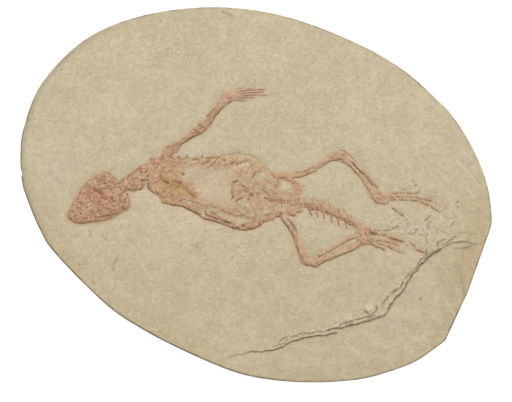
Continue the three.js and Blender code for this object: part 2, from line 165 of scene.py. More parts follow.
# %% [markdown]
# ## Where the bones lie
# These are the routes of the bones: x, y, half the width, and the height above the bed. They start
# from the routes of the CAD source, but some reach further into a joint, or run up to a millimetre
# beside them to follow the photograph. A given list is right here, because no formula places the
# bones of an animal that sank into mud. Bones that repeat, such as ribs and toe bones, need only the
# line that they follow.

# %% Routes of the skull, the neck and the shoulder
SKULL_OUTLINE = [
    (-76, -8.4), (-74, -10.3), (-70.5, -11.4), (-65, -10.6), (-60, -9.8), (-57, -8.8), (-54, -6.6),
    (-51, -5.6), (-50.8, -3), (-51.8, 0), (-53.6, 2), (-55.4, 4), (-56.4, 6.6), (-57.8, 8.4),
    (-60.2, 9.4), (-62.4, 9.1), (-65, 7.9), (-68, 5.6), (-70.5, 2.4), (-73, -2), (-74.6, -4.8),
]
NECK = [(-53.2, 4.9, 1.3, 1), (-50.6, 5, 1.6, 1.2), (-48, 6.5, 1.7, 1.2), (-45.6, 8.6, 1.5, 1.1)]
NECK_RIBS = [
    [(-51.4, 4.8, 0.5, 0.7), (-50.9, 2.8, 0.4, 0.4)],
    [(-49, 5.4, 0.5, 0.7), (-48.1, 2.9, 0.4, 0.4)],
    [(-47.2, 6.6, 0.5, 0.7), (-46, 3.9, 0.4, 0.4)],
    [(-50.2, 5.6, 0.5, 0.7), (-50.4, 7.7, 0.4, 0.4)],
    [(-48.2, 7, 0.5, 0.7), (-48.7, 9.1, 0.4, 0.4)],
    [(-46.4, 8.6, 0.5, 0.7), (-46.8, 10.8, 0.4, 0.4)],
]
SHOULDER = [
    [(-41.2, 13.4, 1, 0.7), (-42.5, 10.4, 1.4, 0.9), (-41.9, 6.6, 1.3, 0.9), (-41.2, 3.1, 1.2, 0.8)],
    [(-41.4, 13, 1.1, 0.7), (-37.5, 13.5, 1.5, 0.6), (-33.2, 13.9, 1, 0.5)],
    [(-41, 3.5, 1.2, 0.8), (-38.6, 3.1, 2, 0.8), (-36.4, 2.1, 1.5, 0.7)],
    [(-41.2, 8, 1.4, 0.8), (-37.6, 8.2, 2.6, 0.9), (-35, 6.9, 1.6, 0.7)],
]
print("Neck ribs:", len(NECK_RIBS), "shoulder plates:", len(SHOULDER))

# %% Routes of the forelimbs
RIGHT_HUMERUS = [
    (-36.2, 16, 1.5, 0.6), (-34.9, 17.8, 1.8, 0.8), (-33.2, 19.1, 1.4, 0.9), (-31, 20.8, 0.7, 0.8),
    (-28.6, 22.4, 0.75, 0.8), (-26, 24.2, 1.05, 0.9), (-23.9, 25.6, 1.45, 1),
]
RIGHT_RADIUS = [
    (-24, 26.2, 0.8, 0.7), (-22.5, 27.8, 0.75, 0.7), (-19.5, 30.4, 0.6, 0.7), (-16.9, 33.6, 0.6, 0.6),
    (-14, 37.1, 0.65, 0.6),
]
RIGHT_ULNA = [
    (-22.8, 25.4, 0.9, 0.8), (-21.4, 26.8, 0.8, 0.8), (-19.1, 29.2, 0.6, 0.7), (-16.8, 32.3, 0.6, 0.6),
    (-13.6, 36.2, 0.65, 0.6),
]
RIGHT_WRIST = [(-14.8, 36.2, 0.9, 0.5), (-13, 38, 1.4, 0.55), (-11.4, 39.2, 1.7, 0.65), (-9, 40, 1.5, 0.5)]
RIGHT_FINGERS = [
    [(-9.8, 40.9, 0.5, 0.5), (-6.6, 42, 0.5, 0.45), (-1.6, 42.5, 0.4, 0.35), (3.6, 42.5, 0.3, 0.2)],
    [(-9.4, 40.4, 0.5, 0.5), (-4.6, 41.3, 0.45, 0.4), (-0.6, 41.5, 0.4, 0.3), (3, 41.6, 0.25, 0.15)],
    [(-9.4, 39.8, 0.5, 0.5), (-4, 40.3, 0.45, 0.4), (0.6, 40.4, 0.4, 0.3), (4, 40.3, 0.25, 0.15)],
    [(-9.6, 39.3, 0.5, 0.5), (-5, 39.3, 0.4, 0.35), (-0.8, 39.3, 0.3, 0.15)],
    [(-10, 38.8, 0.45, 0.5), (-6.8, 38.2, 0.4, 0.35), (-3.6, 38.2, 0.25, 0.15)],
]
LEFT_HUMERUS = [
    (-37, -1.8, 0.9, 0.6), (-33.6, -3, 0.7, 0.6), (-28.6, -4, 0.7, 0.6), (-22.8, -6.7, 1, 0.7),
]
LEFT_RADIUS = [
    (-20.6, -8.9, 0.6, 0.6), (-15.5, -10.2, 0.55, 0.6), (-11.8, -11.6, 0.55, 0.6),
    (-8.6, -13, 0.6, 0.6),
]
LEFT_ULNA = [
    (-20, -7.1, 0.6, 0.6), (-15.6, -8.6, 0.5, 0.55), (-12, -10, 0.5, 0.5), (-9, -11.2, 0.5, 0.5),
]
LEFT_HAND = [
    (-6.6, -12.9, 0.9, 0.7), (-3.6, -12.3, 1.4, 0.8), (0, -11.2, 1.1, 0.7), (3, -10, 0.7, 0.6),
    (5.4, -9.3, 0.5, 0.5), (7, -9, 0.4, 0.4),
]
print("Fingers of the raised hand:", len(RIGHT_FINGERS))

# %% Routes of the trunk and the pelvis
BACKBONE = [
    (-32.9, 5.9, 1, 0.7), (-28, 4.6, 1, 0.6), (-22, 4.8, 0.8, 0.45), (-15, 4.9, 0.8, 0.45),
    (-9.6, 4.4, 1, 0.6), (-5, 2.4, 1.1, 0.7), (0, 0.4, 1.1, 0.7), (3.6, -1, 1.1, 0.7),
]
RIGHT_FLANK = [(-26.6, 13.6), (-20, 14.7), (-12, 15), (-5, 14.8), (1, 12.4), (4.2, 8.4)]
LEFT_FLANK = [(-28, -1.6), (-21, -3.7), (-14, -5.5), (-7.6, -7.4), (-2, -8.4), (3, -5.6)]
PELVIS = [
    [(5.8, -1.7, 1, 0.8), (10, -2.2, 1.2, 0.9), (14, -2.9, 1.2, 0.9), (17.6, -3.5, 1, 0.8)],
    [(6.6, 8.2, 0.9, 0.5), (9.2, 7.4, 1.1, 0.8), (12, 7.1, 1.3, 1), (14.4, 5.2, 1.1, 0.8),
     (16.2, 3, 1.5, 0.8), (15.9, -0.2, 1.2, 0.7), (15, -2.6, 1, 0.7)],
    [(8.6, 6.8, 0.8, 0.6), (8.1, 3.6, 0.7, 0.5), (8.4, 0.4, 0.8, 0.6), (8.8, -1.8, 0.8, 0.6)],
    [(7.6, -2.6, 1, 0.7), (6.6, -4.6, 0.9, 0.6), (7.6, -6.2, 0.8, 0.6), (9, -7.2, 1.1, 0.9)],
    [(12, -3.4, 1, 0.7), (13.6, -6.2, 1.4, 0.8), (14.8, -7.2, 1.1, 0.6)],
    [(15, -3.6, 1, 0.6), (16.9, -5.3, 1.4, 0.8)],
]
print("Plates of the pelvis:", len(PELVIS))

# %% Routes of the hind limbs and the tail
RIGHT_FEMUR = [
    (12.4, 7.8, 1, 0.6), (14.9, 8.1, 1, 0.8), (18, 8.6, 0.9, 0.8), (22, 10.2, 0.9, 0.8),
    (26, 12.8, 0.95, 0.85), (30, 15.2, 1.2, 1), (33, 16.2, 1.7, 1.1),
]
RIGHT_TIBIA = [
    (35.3, 13.9, 0.8, 0.8), (38.4, 11.6, 0.65, 0.7), (41.6, 8, 0.65, 0.7), (44, 4.6, 0.7, 0.7),
    (45.4, 2.6, 0.75, 0.7),
]
RIGHT_FIBULA = [
    (36.9, 15, 0.6, 0.7), (39.6, 12.8, 0.55, 0.6), (42.6, 9.6, 0.55, 0.6), (45.4, 6.2, 0.6, 0.6),
    (47.6, 3.8, 0.6, 0.6),
]
RIGHT_ANKLE = [(46.7, 0.3, 1.1, 0.7), (48.6, -1.2, 2, 0.8), (51.4, -1.4, 1.8, 0.7)]
RIGHT_TOES = [
    [(54.4, -4.9, 0.28, 0.3), (56.6, -6.5, 0.28, 0.3), (58.8, -8.3, 0.2, 0.2)],
    [(52, -1.4, 0.5, 0.5), (57, -1.4, 0.45, 0.45), (62, -1.6, 0.4, 0.4), (66.4, -2.4, 0.35, 0.4),
     (69, -3.9, 0.3, 0.35), (73.2, -6.4, 0.22, 0.2)],
    [(51.8, -0.3, 0.5, 0.5), (57, -0.1, 0.45, 0.45), (61.6, -0.3, 0.4, 0.4), (65.6, -1, 0.35, 0.35),
     (70.6, -2.1, 0.3, 0.3)],
    [(51.4, 0.2, 0.5, 0.5), (55, 1, 0.45, 0.45), (59.2, 1.5, 0.5, 0.45), (62.2, 1, 0.4, 0.4),
     (65.4, 1.3, 0.3, 0.3)],
]
LEFT_FEMUR = [
    (10.2, -7.6, 1, 0.7), (11.4, -9.2, 1.2, 0.8), (13.2, -11.6, 1.1, 0.8), (15, -15, 1, 0.8),
    (16.6, -19, 1, 0.8), (18, -22.8, 1.2, 0.9), (19.8, -25.8, 1.6, 1), (21.6, -26.6, 1.3, 0.9),
]
LEFT_TIBIA = [
    (23.2, -26.9, 1.3, 0.9), (27, -25.4, 1, 0.8), (31.5, -23.6, 0.9, 0.8), (36, -21.9, 0.9, 0.8),
    (39, -20.4, 0.9, 0.8), (40.8, -19, 0.9, 0.7),
]
LEFT_FIBULA = [
    (25, -23.8, 0.6, 0.6), (28.4, -22.1, 0.5, 0.5), (31.6, -20.2, 0.45, 0.45), (35, -18.3, 0.45, 0.45),
    (38.5, -16.8, 0.5, 0.5), (40.2, -16, 0.6, 0.6),
]
LEFT_ANKLE = [(41.6, -13.4, 1.5, 0.8), (42.3, -15.6, 2.2, 1), (42.2, -18, 1.9, 0.9)]
LEFT_TOES = [
    [(43.4, -18.2, 0.6, 0.5), (46.2, -19.2, 0.5, 0.5), (49, -20.4, 0.4, 0.4), (51.6, -21.8, 0.35, 0.35)],
    [(43.8, -17.4, 0.6, 0.5), (47.5, -18.4, 0.5, 0.5), (51.4, -19.6, 0.45, 0.4),
     (54.2, -21.2, 0.3, 0.3), (58.5, -23, 0.16, 0.15)],
    [(44, -16.7, 0.6, 0.5), (48, -17.5, 0.5, 0.5), (52, -18.1, 0.45, 0.4), (57.6, -20, 0.35, 0.3)],
    [(42.6, -13.2, 0.4, 0.4), (47.4, -13.7, 0.22, 0.25), (52.6, -14, 0.2, 0.2),
     (55.4, -12.9, 0.2, 0.2), (57.2, -11.8, 0.2, 0.2)],
]
TAIL_BASE = [
    (19.4, -3.7, 1.32, 0.4), (21, -4.4, 0.96, 0.4), (22.6, -4, 1.44, 0.4), (24.4, -5.1, 1.08, 0.4),
    (26, -4.8, 1.56, 0.4), (27.8, -6.2, 1.08, 0.4), (29.5, -6.2, 1.56, 0.4), (31.2, -7.7, 0.96, 0.4),
    (33, -7.8, 1.44, 0.4), (34.8, -9.4, 0.96, 0.4), (36.2, -9.6, 1.2, 0.4), (37.8, -11.1, 0.96, 0.4),
    (39.2, -11.5, 1.08, 0.4), (40.8, -12.8, 0.96, 0.4),
]
TAIL_SPINES = [
    [(20.8, -4.9, 0.4, 0.5), (22.2, -8, 0.3, 0.3)], [(24, -5.4, 0.4, 0.5), (24.6, -8.8, 0.3, 0.3)],
    [(26.8, -6.2, 0.4, 0.5), (27.2, -9.6, 0.3, 0.3)], [(29.7, -7.4, 0.4, 0.5), (30.2, -10.8, 0.3, 0.3)],
    [(32.6, -8.8, 0.4, 0.5), (33.1, -11.8, 0.3, 0.3)], [(35.6, -10.4, 0.4, 0.5), (36.1, -13.2, 0.3, 0.3)],
    [(25.6, -5, 0.4, 0.5), (26.4, -2.6, 0.3, 0.3)], [(29, -6.2, 0.4, 0.5), (29.6, -3.6, 0.3, 0.3)],
    [(32.4, -7.8, 0.4, 0.5), (33.2, -5.4, 0.3, 0.3)],
]
TAIL_END = [
    (46, -15, 0.7, 0.6), (49.5, -15.5, 0.6, 0.5), (53, -16.4, 0.6, 0.5), (56.4, -17.6, 0.45, 0.35),
    (59, -18.6, 0.3, 0.2),
]
TAIL_TIP = [(63.6, -21.3, 0.2, 0.15), (65.4, -22, 0.4, 0.25), (67.4, -22.8, 0.3, 0.2)]
print("Toes:", len(RIGHT_TOES) + len(LEFT_TOES), "tail spines:", len(TAIL_SPINES))

# %% [markdown]
# ## Crevices and stains
# Along the lower side of most bones runs a thin dark line. It is cut in as a shallow groove and
# painted dark: painted shade where the bone keeps the light from above off the stone, with the brown
# of the dirt in the gap between bone and stone. The photograph's character is in these lines, so each
# is listed: how dark it is, half its width, and its points. A line of one point is a pit. The same
# lists colour bone and stone, so a line that crosses from one to the other doesn't break.

# %% A helper for strokes
def strokes(*rows):
    """Strokes from flat rows: how strong, half the width, then x and y of each point."""
    return [(row[0], row[1], list(zip(row[2::2], row[3::2]))) for row in rows]


print("A stroke:", strokes((1, 0.5, 0, 0, 2, 1)))

# %% Dark crevices of the head, the neck and the trunk
CREVICES = strokes(
    (1.9, 0.8, -64.4, 2.4, -63.4, 1.9), (1.5, 0.7, -62.9, 1.3, -62.1, 0.5), (1.3, 0.75, -57.8, -1.4),
    (0.4, 0.6, -66.6, 2.8, -65, 2.4), (0.8, 0.5, -53.4, -5.2, -52.4, -5.6),
    (0.7, 0.5, -62, -0.4, -59.4, -1.4),
    (0.35, 0.4, -18.5, 15.3, -14, 15.7, -11.6, 16.7, -7.1, 17, -3.4, 16.3, 0.2, 14.6, 3.1, 13, 4.3, 11.2,
     6, 8.7, 7, 7.5),
    (0.8, 0.45, -58.5, -7.2), (0.65, 0.45, -64.5, -8.8), (1.2, 0.6, -70.3, -7.3), (1.0, 0.55, -71.6, -5),
    (0.4, 0.35, -68.4, -9.2), (0.4, 0.35, -66.2, -7.4), (0.4, 0.35, -63.2, -6), (0.7, 0.45, -56.2, -7.4),
    (0.6, 0.4, -68.8, 0.8), (0.6, 0.4, -66.6, -2.6), (0.6, 0.4, -61.6, 7.6),
    (0.5, 0.35, -75.2, -9.4, -73, -11, -70.5, -11.5, -65, -10.8, -60, -10, -57, -9, -54, -6.9, -51.6, -6),
    (0.25, 0.3, -70, -9.8, -64, -9.2, -59.5, -8, -56, -6.8),
    (0.45, 0.35, -54, 2.6, -55.4, 5, -57, 7.1, -59.4, 9.4, -62, 9.4),
    (0.8, 0.4, -53.4, 3.4, -52, 2.3, -50, 1.8, -48, 1.7, -46, 2.4, -45.3, 3.2), (0.9, 0.45, -51.3, 7.5),
    (0.5, 0.3, -50, 4.1, -48, 4), (1.0, 0.5, -43.6, 7.5),
    (0.7, 0.4, -45.8, 6, -44.5, 5.6, -43.5, 4.5, -43, 2.2, -42.5, 1.6, -40.5, 0.7, -38.8, 0, -38.4, -0.9),
    (0.4, 0.3, -37.6, -3, -34.6, -3.7),
    (0.85, 0.42, -34, -3.7, -32, -3.9, -30, -4.4, -28, -5.2, -26, -6.1, -24, -7.1, -22.5, -8.4, -21, -9.2,
     -19, -9.8, -16, -10.2, -13, -11.3, -10, -12.5, -8, -13.2, -6.5, -14.2, -4, -13.8, -1, -13.3, 2, -11.8),
    (0.7, 0.35, -18, -6.8, -16, -7.7, -13.5, -9.6, -12.3, -10.9, -10.3, -10.8),
    (0.8, 0.4, -9, -12.6, -7, -13), (2.0, 0.78, -5.3, -12.1), (0.4, 0.35, 1.6, -11),
    (0.9, 0.5, -42.2, 14.4), (0.8, 0.5, -38, 15.6), (0.8, 0.45, -35.5, 15.8, -33, 14.5),
    (1.1, 0.7, -31, 15.2), (1.1, 0.65, -28, 15.7), (1.5, 0.55, -25.3, 14.2, -23.5, 14.4),
    (1.2, 0.6, -21.8, 15.3), (1.1, 0.42, -20, 15, -17, 15.1, -14.5, 15.3), (1.2, 0.6, -12.8, 14),
    (0.7, 0.3, -29, 12.7, -27.5, 13.3), (1.25, 0.42, -22, 12.3, -20, 13, -18.5, 13.8),
    (1.15, 0.42, -18, 12, -16.5, 13.2), (1.0, 0.5, -19.2, 11.3), (1.25, 0.45, -10.5, 12.8, -9, 13.4),
    (1.25, 0.42, -8, 12.2, -6, 13), (0.8, 0.35, -5.5, 13.2, -3.5, 13.8), (1.3, 0.75, -29.3, 8.6),
    (0.7, 0.35, -38.5, 7, -37, 5.5, -35, 5), (1.3, 0.65, -30.5, 5.3),
    (0.6, 0.35, -28.5, 3.5, -28, 2, -26, 0.3, -25, -0.8), (0.5, 0.3, -33, -1, -30, -2.5),
    (0.5, 0.3, -31, -0.5, -28.5, -1.8, -25, -2.9, -22.5, -3.8),
    (0.5, 0.35, -18, -4.6, -14, -5.8, -12, -6.8, -9, -7.8, -5, -8, -3, -8.9, -1.6, -10.2, -0.5, -9.7),
    (1.3, 0.5, -9.5, 5.4, -8, 5.8), (0.75, 0.4, -6.8, 5.3), (1.0, 0.42, -6.2, 4, -4.5, 3),
    (1.0, 0.42, -5.3, 1.9, -3.8, 1.2), (1.5, 0.55, -2.3, 0.6, -2, -0.3), (1.3, 0.5, -9.7, 1.5, -9.6, -0.5),
    (1.5, 0.5, -8, -2.5, -5.8, -0.8), (1.6, 0.55, -3.2, -1.5), (0.8, 0.6, -0.7, 8.9, -1.2, 7),
    (0.5, 0.35, -1, 3.8), (0.6, 0.35, 2.8, 3.6), (0.7, 0.35, 3, 2, 4.5, 0.8),
    (1.0, 0.35, 3.3, -0.8, 5.3, -2), (0.5, 0.35, 6.3, 1, 7.5, 0),
    (1.2, 0.45, -44.4, 5.6, -43.6, 4.4, -43.2, 2.8), (0.9, 0.5, -38.4, 7, -36.6, 5.6, -35, 5),
    (1.2, 0.5, -33.4, 5.9, -31.6, 5.6, -30, 5.2), (0.7, 0.4, -29.4, 3.4, -28, 1.6, -25.6, 0.3),
    (0.5, 0.4, -33, 2.6, -31, 3.2), (0.8, 0.42, -30.6, 14.8, -28.6, 14.8, -27, 15.4),
    (0.7, 0.35, 2.4, -10.6, 4.6, -9.4, 6.6, -9, 9, -8.5), (0.7, 0.4, -1.8, -10.6, -0.6, -10),
    (0.9, 0.5, -4, -13.1, -2.6, -12.9), (1.6, 0.5, 1.2, -11.2), (1.3, 0.55, -12.8, -10.5, -10.6, -11),
    (1.3, 0.6, -9.4, -12.7, -7, -13.3), (0.9, 0.45, -20.4, -6.4, -20.1, -7.4),
    (0.8, 0.45, -17.6, -9, -16, -9.6), (0.95, 0.42, -22.9, 28.6, -21.9, 27.4, -20.6, 26.8),
    (1.0, 0.45, -24.6, 26.4, -23.6, 25.6, -23, 24.9), (0.8, 0.4, -25.4, 24.9, -24.2, 25.2),
    (0.7, 0.5, 42.8, -17.8), (0.5, 0.4, 41.2, -15.2, 42, -16.4), (0.55, 0.4, 40.6, -13.2, 41.8, -12.6),
    (0.7, 0.45, 43.8, -13.2, 45, -14), (0.6, 0.42, 41.4, -19.2), (0.55, 0.4, 43.6, -15.8, 44.2, -16.6),
)
print("Crevices of the head and trunk:", len(CREVICES))

# %% Dark seams and pits of the crushed skull
CREVICES += strokes(
    (1, 0.57, -58.8, 5.4), (0.8, 0.46, -60.6, 4.7), (0.96, 0.46, -64.2, 6.6), (0.64, 0.46, -60.4, 7.4),
    (0.8, 0.52, -67.6, 4.6), (0.72, 0.52, -69, 3), (0.8, 0.46, -70.4, 1.2), (0.72, 0.4, -67.6, -5),
    (0.72, 0.4, -57.6, -2.2, -56.6, -3), (0.8, 0.34, -61.4, -4, -60.6, -5.2),
    (0.64, 0.34, -62.2, 0.2, -60.8, 1.2), (0.64, 0.34, -54.8, -0.4, -54.2, -2.4),
    (0.56, 0.34, -53.8, 1, -52.4, 1.4, -51.4, -0.6, -50.8, -3, -50.6, -4.6),
    (0.8, 0.4, -64.4, -9, -62, -8.4, -58, -8, -55.8, -7.2), (0.72, 0.34, -56.6, 3.4, -54, 3.2),
    (0.56, 0.34, -69.6, -9, -67.6, -9), (0.48, 0.34, -66, -2.2, -64, -2.8, -62, -2.6),
    (0.56, 0.34, -68.8, -1, -67.8, -2.4), (0.48, 0.34, -72, -3, -70, -3.4),
    (0.56, 0.34, -73.2, -8.4, -72, -9.4), (0.48, 0.34, -62.6, 5.8, -61, 6),
    (0.56, 0.34, -66, 1, -67.4, 0.4), (0.48, 0.34, -59.6, -5.6, -57.4, -5.8), (0.56, 0.4, -52.6, -1.6),
    (0.8, 0.4, -74, -9.4), (0.48, 0.34, -71.8, -1.4, -70.6, -1.6),
)
print("Crevices with the skull's seams:", len(CREVICES))

# %% Dark strokes between the ribs at the back of the trunk
CREVICES += strokes(
    (0.45, 0.36, -10, 5.8, -10, 3.4, -9.9, 1.6), (0.65, 0.33, -9.8, -0.6, -10, -2.2),
    (0.3, 0.35, -7.4, 5.4, -6, 4.2), (0.4, 0.33, -4.4, 3, -3, 1.6), (0.59, 0.33, -6.4, -1, -4.4, 0.2),
    (0.52, 0.33, -6.6, 2, -7.2, 0.6), (0.52, 0.33, -4.6, -2.4, -3.4, -3.4),
    (0.52, 0.33, -1.4, 3.6, -0.6, 2), (0.52, 0.33, 0, 1.6, 0.6, 0), (0.59, 0.33, 1, -1.4, 1.6, -3),
    (0.52, 0.33, 2.4, 4, 3, 2.6), (0.52, 0.33, -5, -4.6, -4, -6), (0.52, 0.33, -2, -5, -0.8, -6.6),
    (0.45, 0.33, -8, -5.2, -7, -6.4), (0.45, 0.33, -3.4, 11.4, -1.6, 12),
    (0.52, 0.33, -13.6, 12.2, -12, 13), (0.52, 0.33, -16, 11.6, -14.6, 12.6),
    (0.59, 0.33, -24.6, 12.2, -23, 13), (0.52, 0.33, -27, 11.6, -25.6, 12.4), (0.45, 0.33, 0.4, 9, 2, 9.8),
    (0.52, 0.33, 3.6, 6.4, 4.8, 5), (0.59, 0.33, 5.4, 2.4, 6.6, 1.4), (0.52, 0.33, 4.6, -4, 5.6, -5.4),
    (0.52, 0.33, 1.4, -5, 2.4, -6.6), (0.52, 0.33, -29, -1.6, -26, -2.4, -23, -3.4, -20, -4.2),
    (0.45, 0.33, -26, 14.6, -24, 15.6), (0.52, 0.33, -33, 11.6, -31.6, 12.4),
    (0.45, 0.33, -35, 9.4, -33.4, 10.2), (0.45, 0.33, -38.6, 10, -37.4, 11),
    (0.45, 0.33, -40.4, 5.6, -39.2, 4.2), (0.45, 0.33, -37, 13, -35.8, 14), (1.2, 0.5, -6, -12),
    (0.8, 0.45, 1.2, -11, 1.9, -11.4), (0.5, 0.35, -3, -13.4, -1.4, -12.6),
    (0.6, 0.45, -9.4, -12.4, -7.4, -12.6), (0.4, 0.3, -4, -11.2, -2.4, -11.4),
    (0.8, 0.4, 56.6, -17.8, 58.6, -18.4), (0.5, 0.35, -53.8, 4, -53.2, 6.4),
    (0.7, 0.4, -49.9, 7.6, -49.6, 6.2), (0.6, 0.4, -46.8, 10, -46.2, 8.6),
    (0.8, 0.35, -45.6, 6, -44.4, 5.4, -43.4, 4), (0.5, 0.35, -44.2, 9, -43.6, 10.4),
)
print("Crevices with the strokes between ribs:", len(CREVICES))

# %% Dark crevices of the pelvis and the limbs
CREVICES += strokes(
    (0.7, 0.4, 9, 6.3, 10.5, 7, 12, 6.6, 13, 5.6, 14.5, 4.7), (0.75, 0.5, 18.9, 3.8), (0.7, 0.5, 19, 1.9),
    (0.6, 0.3, 10.8, 1.1, 12, 1.7), (0.75, 0.4, 17.4, -0.9, 16.8, -1.8),
    (0.6, 0.35, 19.3, -2.5, 19.6, -4.4), (0.75, 0.35, 4.5, -1.4, 8, -1.9, 12, -2, 15, -2.4, 18, -3.4),
    (0.6, 0.35, 10, -2, 10, -5), (0.6, 0.4, 16.8, -6.2), (0.4, 0.35, 13.5, -7.8, 16, -8.4),
    (1.7, 0.7, 9.9, -7.3), (0.9, 0.4, 9.2, -8.3), (0.8, 0.35, -36, 18.7, -34, 19.8, -32, 20.7),
    (1.0, 0.4, -20, 31.3, -18.4, 33, -16.9, 35), (0.3, 0.3, -14.9, 36.8, -14, 37.9),
    (0.6, 0.5, -22.4, 28.8, -23, 27.2), (0.6, 0.35, -24.6, 25.8), (0.3, 0.35, -22, 26.2),
    (0.6, 0.35, -25.4, 25), (0.5, 0.3, -30, 22.5, -28.8, 23.2), (0.75, 0.45, -31.8, 20.6),
    (0.6, 0.3, -7.8, 42.3, -5.9, 42.7), (0.5, 0.3, -3.5, 42.8, -1.9, 42.9), (0.35, 0.3, 1, 42.6, 3.6, 42.4),
    (0.35, 0.3, -3.5, 40.2, -1.9, 40.4), (0.25, 0.3, 0.5, 40.4, 1, 40.5), (0.25, 0.3, 3.1, 40.4, 3.9, 40.2),
    (0.7, 0.35, -32, 17, -31, 19, -30, 20.5, -28, 21.8, -24, 24.3, -20, 26, -18.5, 28, -17, 31, -14.5, 34,
     -12, 36, -10, 38),
    (0.4, 0.3, 16, 6.9, 18, 7.3, 20, 8.4, 22, 8.9, 23.5, 9.8),
    (0.66, 0.35, 16, 9, 20, 10, 22, 11, 24, 11, 26, 12.6, 28, 13.6, 31, 13.9, 33, 14.5, 35, 13.6, 37, 12,
     38.5, 10.6, 40, 8.8),
    (0.95, 0.5, 34.8, 16.1), (0.9, 0.45, 36.1, 16.1), (0.5, 0.3, 32, 17.3), (0.5, 0.3, 30, 15.3),
    (0.65, 0.4, 37.5, 14, 39, 12.3, 40, 11, 41.5, 9.5, 43, 8.6, 44.5, 7.2, 46, 5, 47.5, 4.2, 48.5, 2.6),
    (0.6, 0.6, 44, 7.4, 45.6, 5.4), (0.4, 0.35, 44.5, 1, 45, -0.3, 46, -1.6, 48, -2.9, 51, -3.5),
    (0.75, 0.4, 10, -9, 11, -10.6, 12, -11.8, 13, -13.6, 14, -15.2, 15, -17, 15.8, -18.6, 16.3, -20.5,
     16.9, -22.6, 17.7, -24.6, 18.6, -26.6, 19.8, -27.8, 21.5, -28.3, 23.3, -28.6, 24.4, -28, 26.5, -26.9,
     29, -25.8, 31, -25.1, 34, -23.9, 36, -22.9, 38, -22.3, 40, -21.2, 42, -20, 45, -19.8, 46.5, -19.8,
     48, -20.7, 49.5, -20.9, 51.2, -21.9),
    (1.1, 0.42, 12.8, -9.8, 14, -11.2, 15, -12.7, 15.8, -13.9), (0.5, 0.4, 20.5, -24.8),
    (0.6, 0.35, 20.5, -26.7, 22, -27.8), (0.5, 0.35, 24.5, -25.5),
    (0.55, 0.35, 29, -22.9, 31, -21.6, 33, -20.2, 35, -18.8, 36.5, -17.9, 38.4, -17.3),
)
print("Crevices so far:", len(CREVICES))

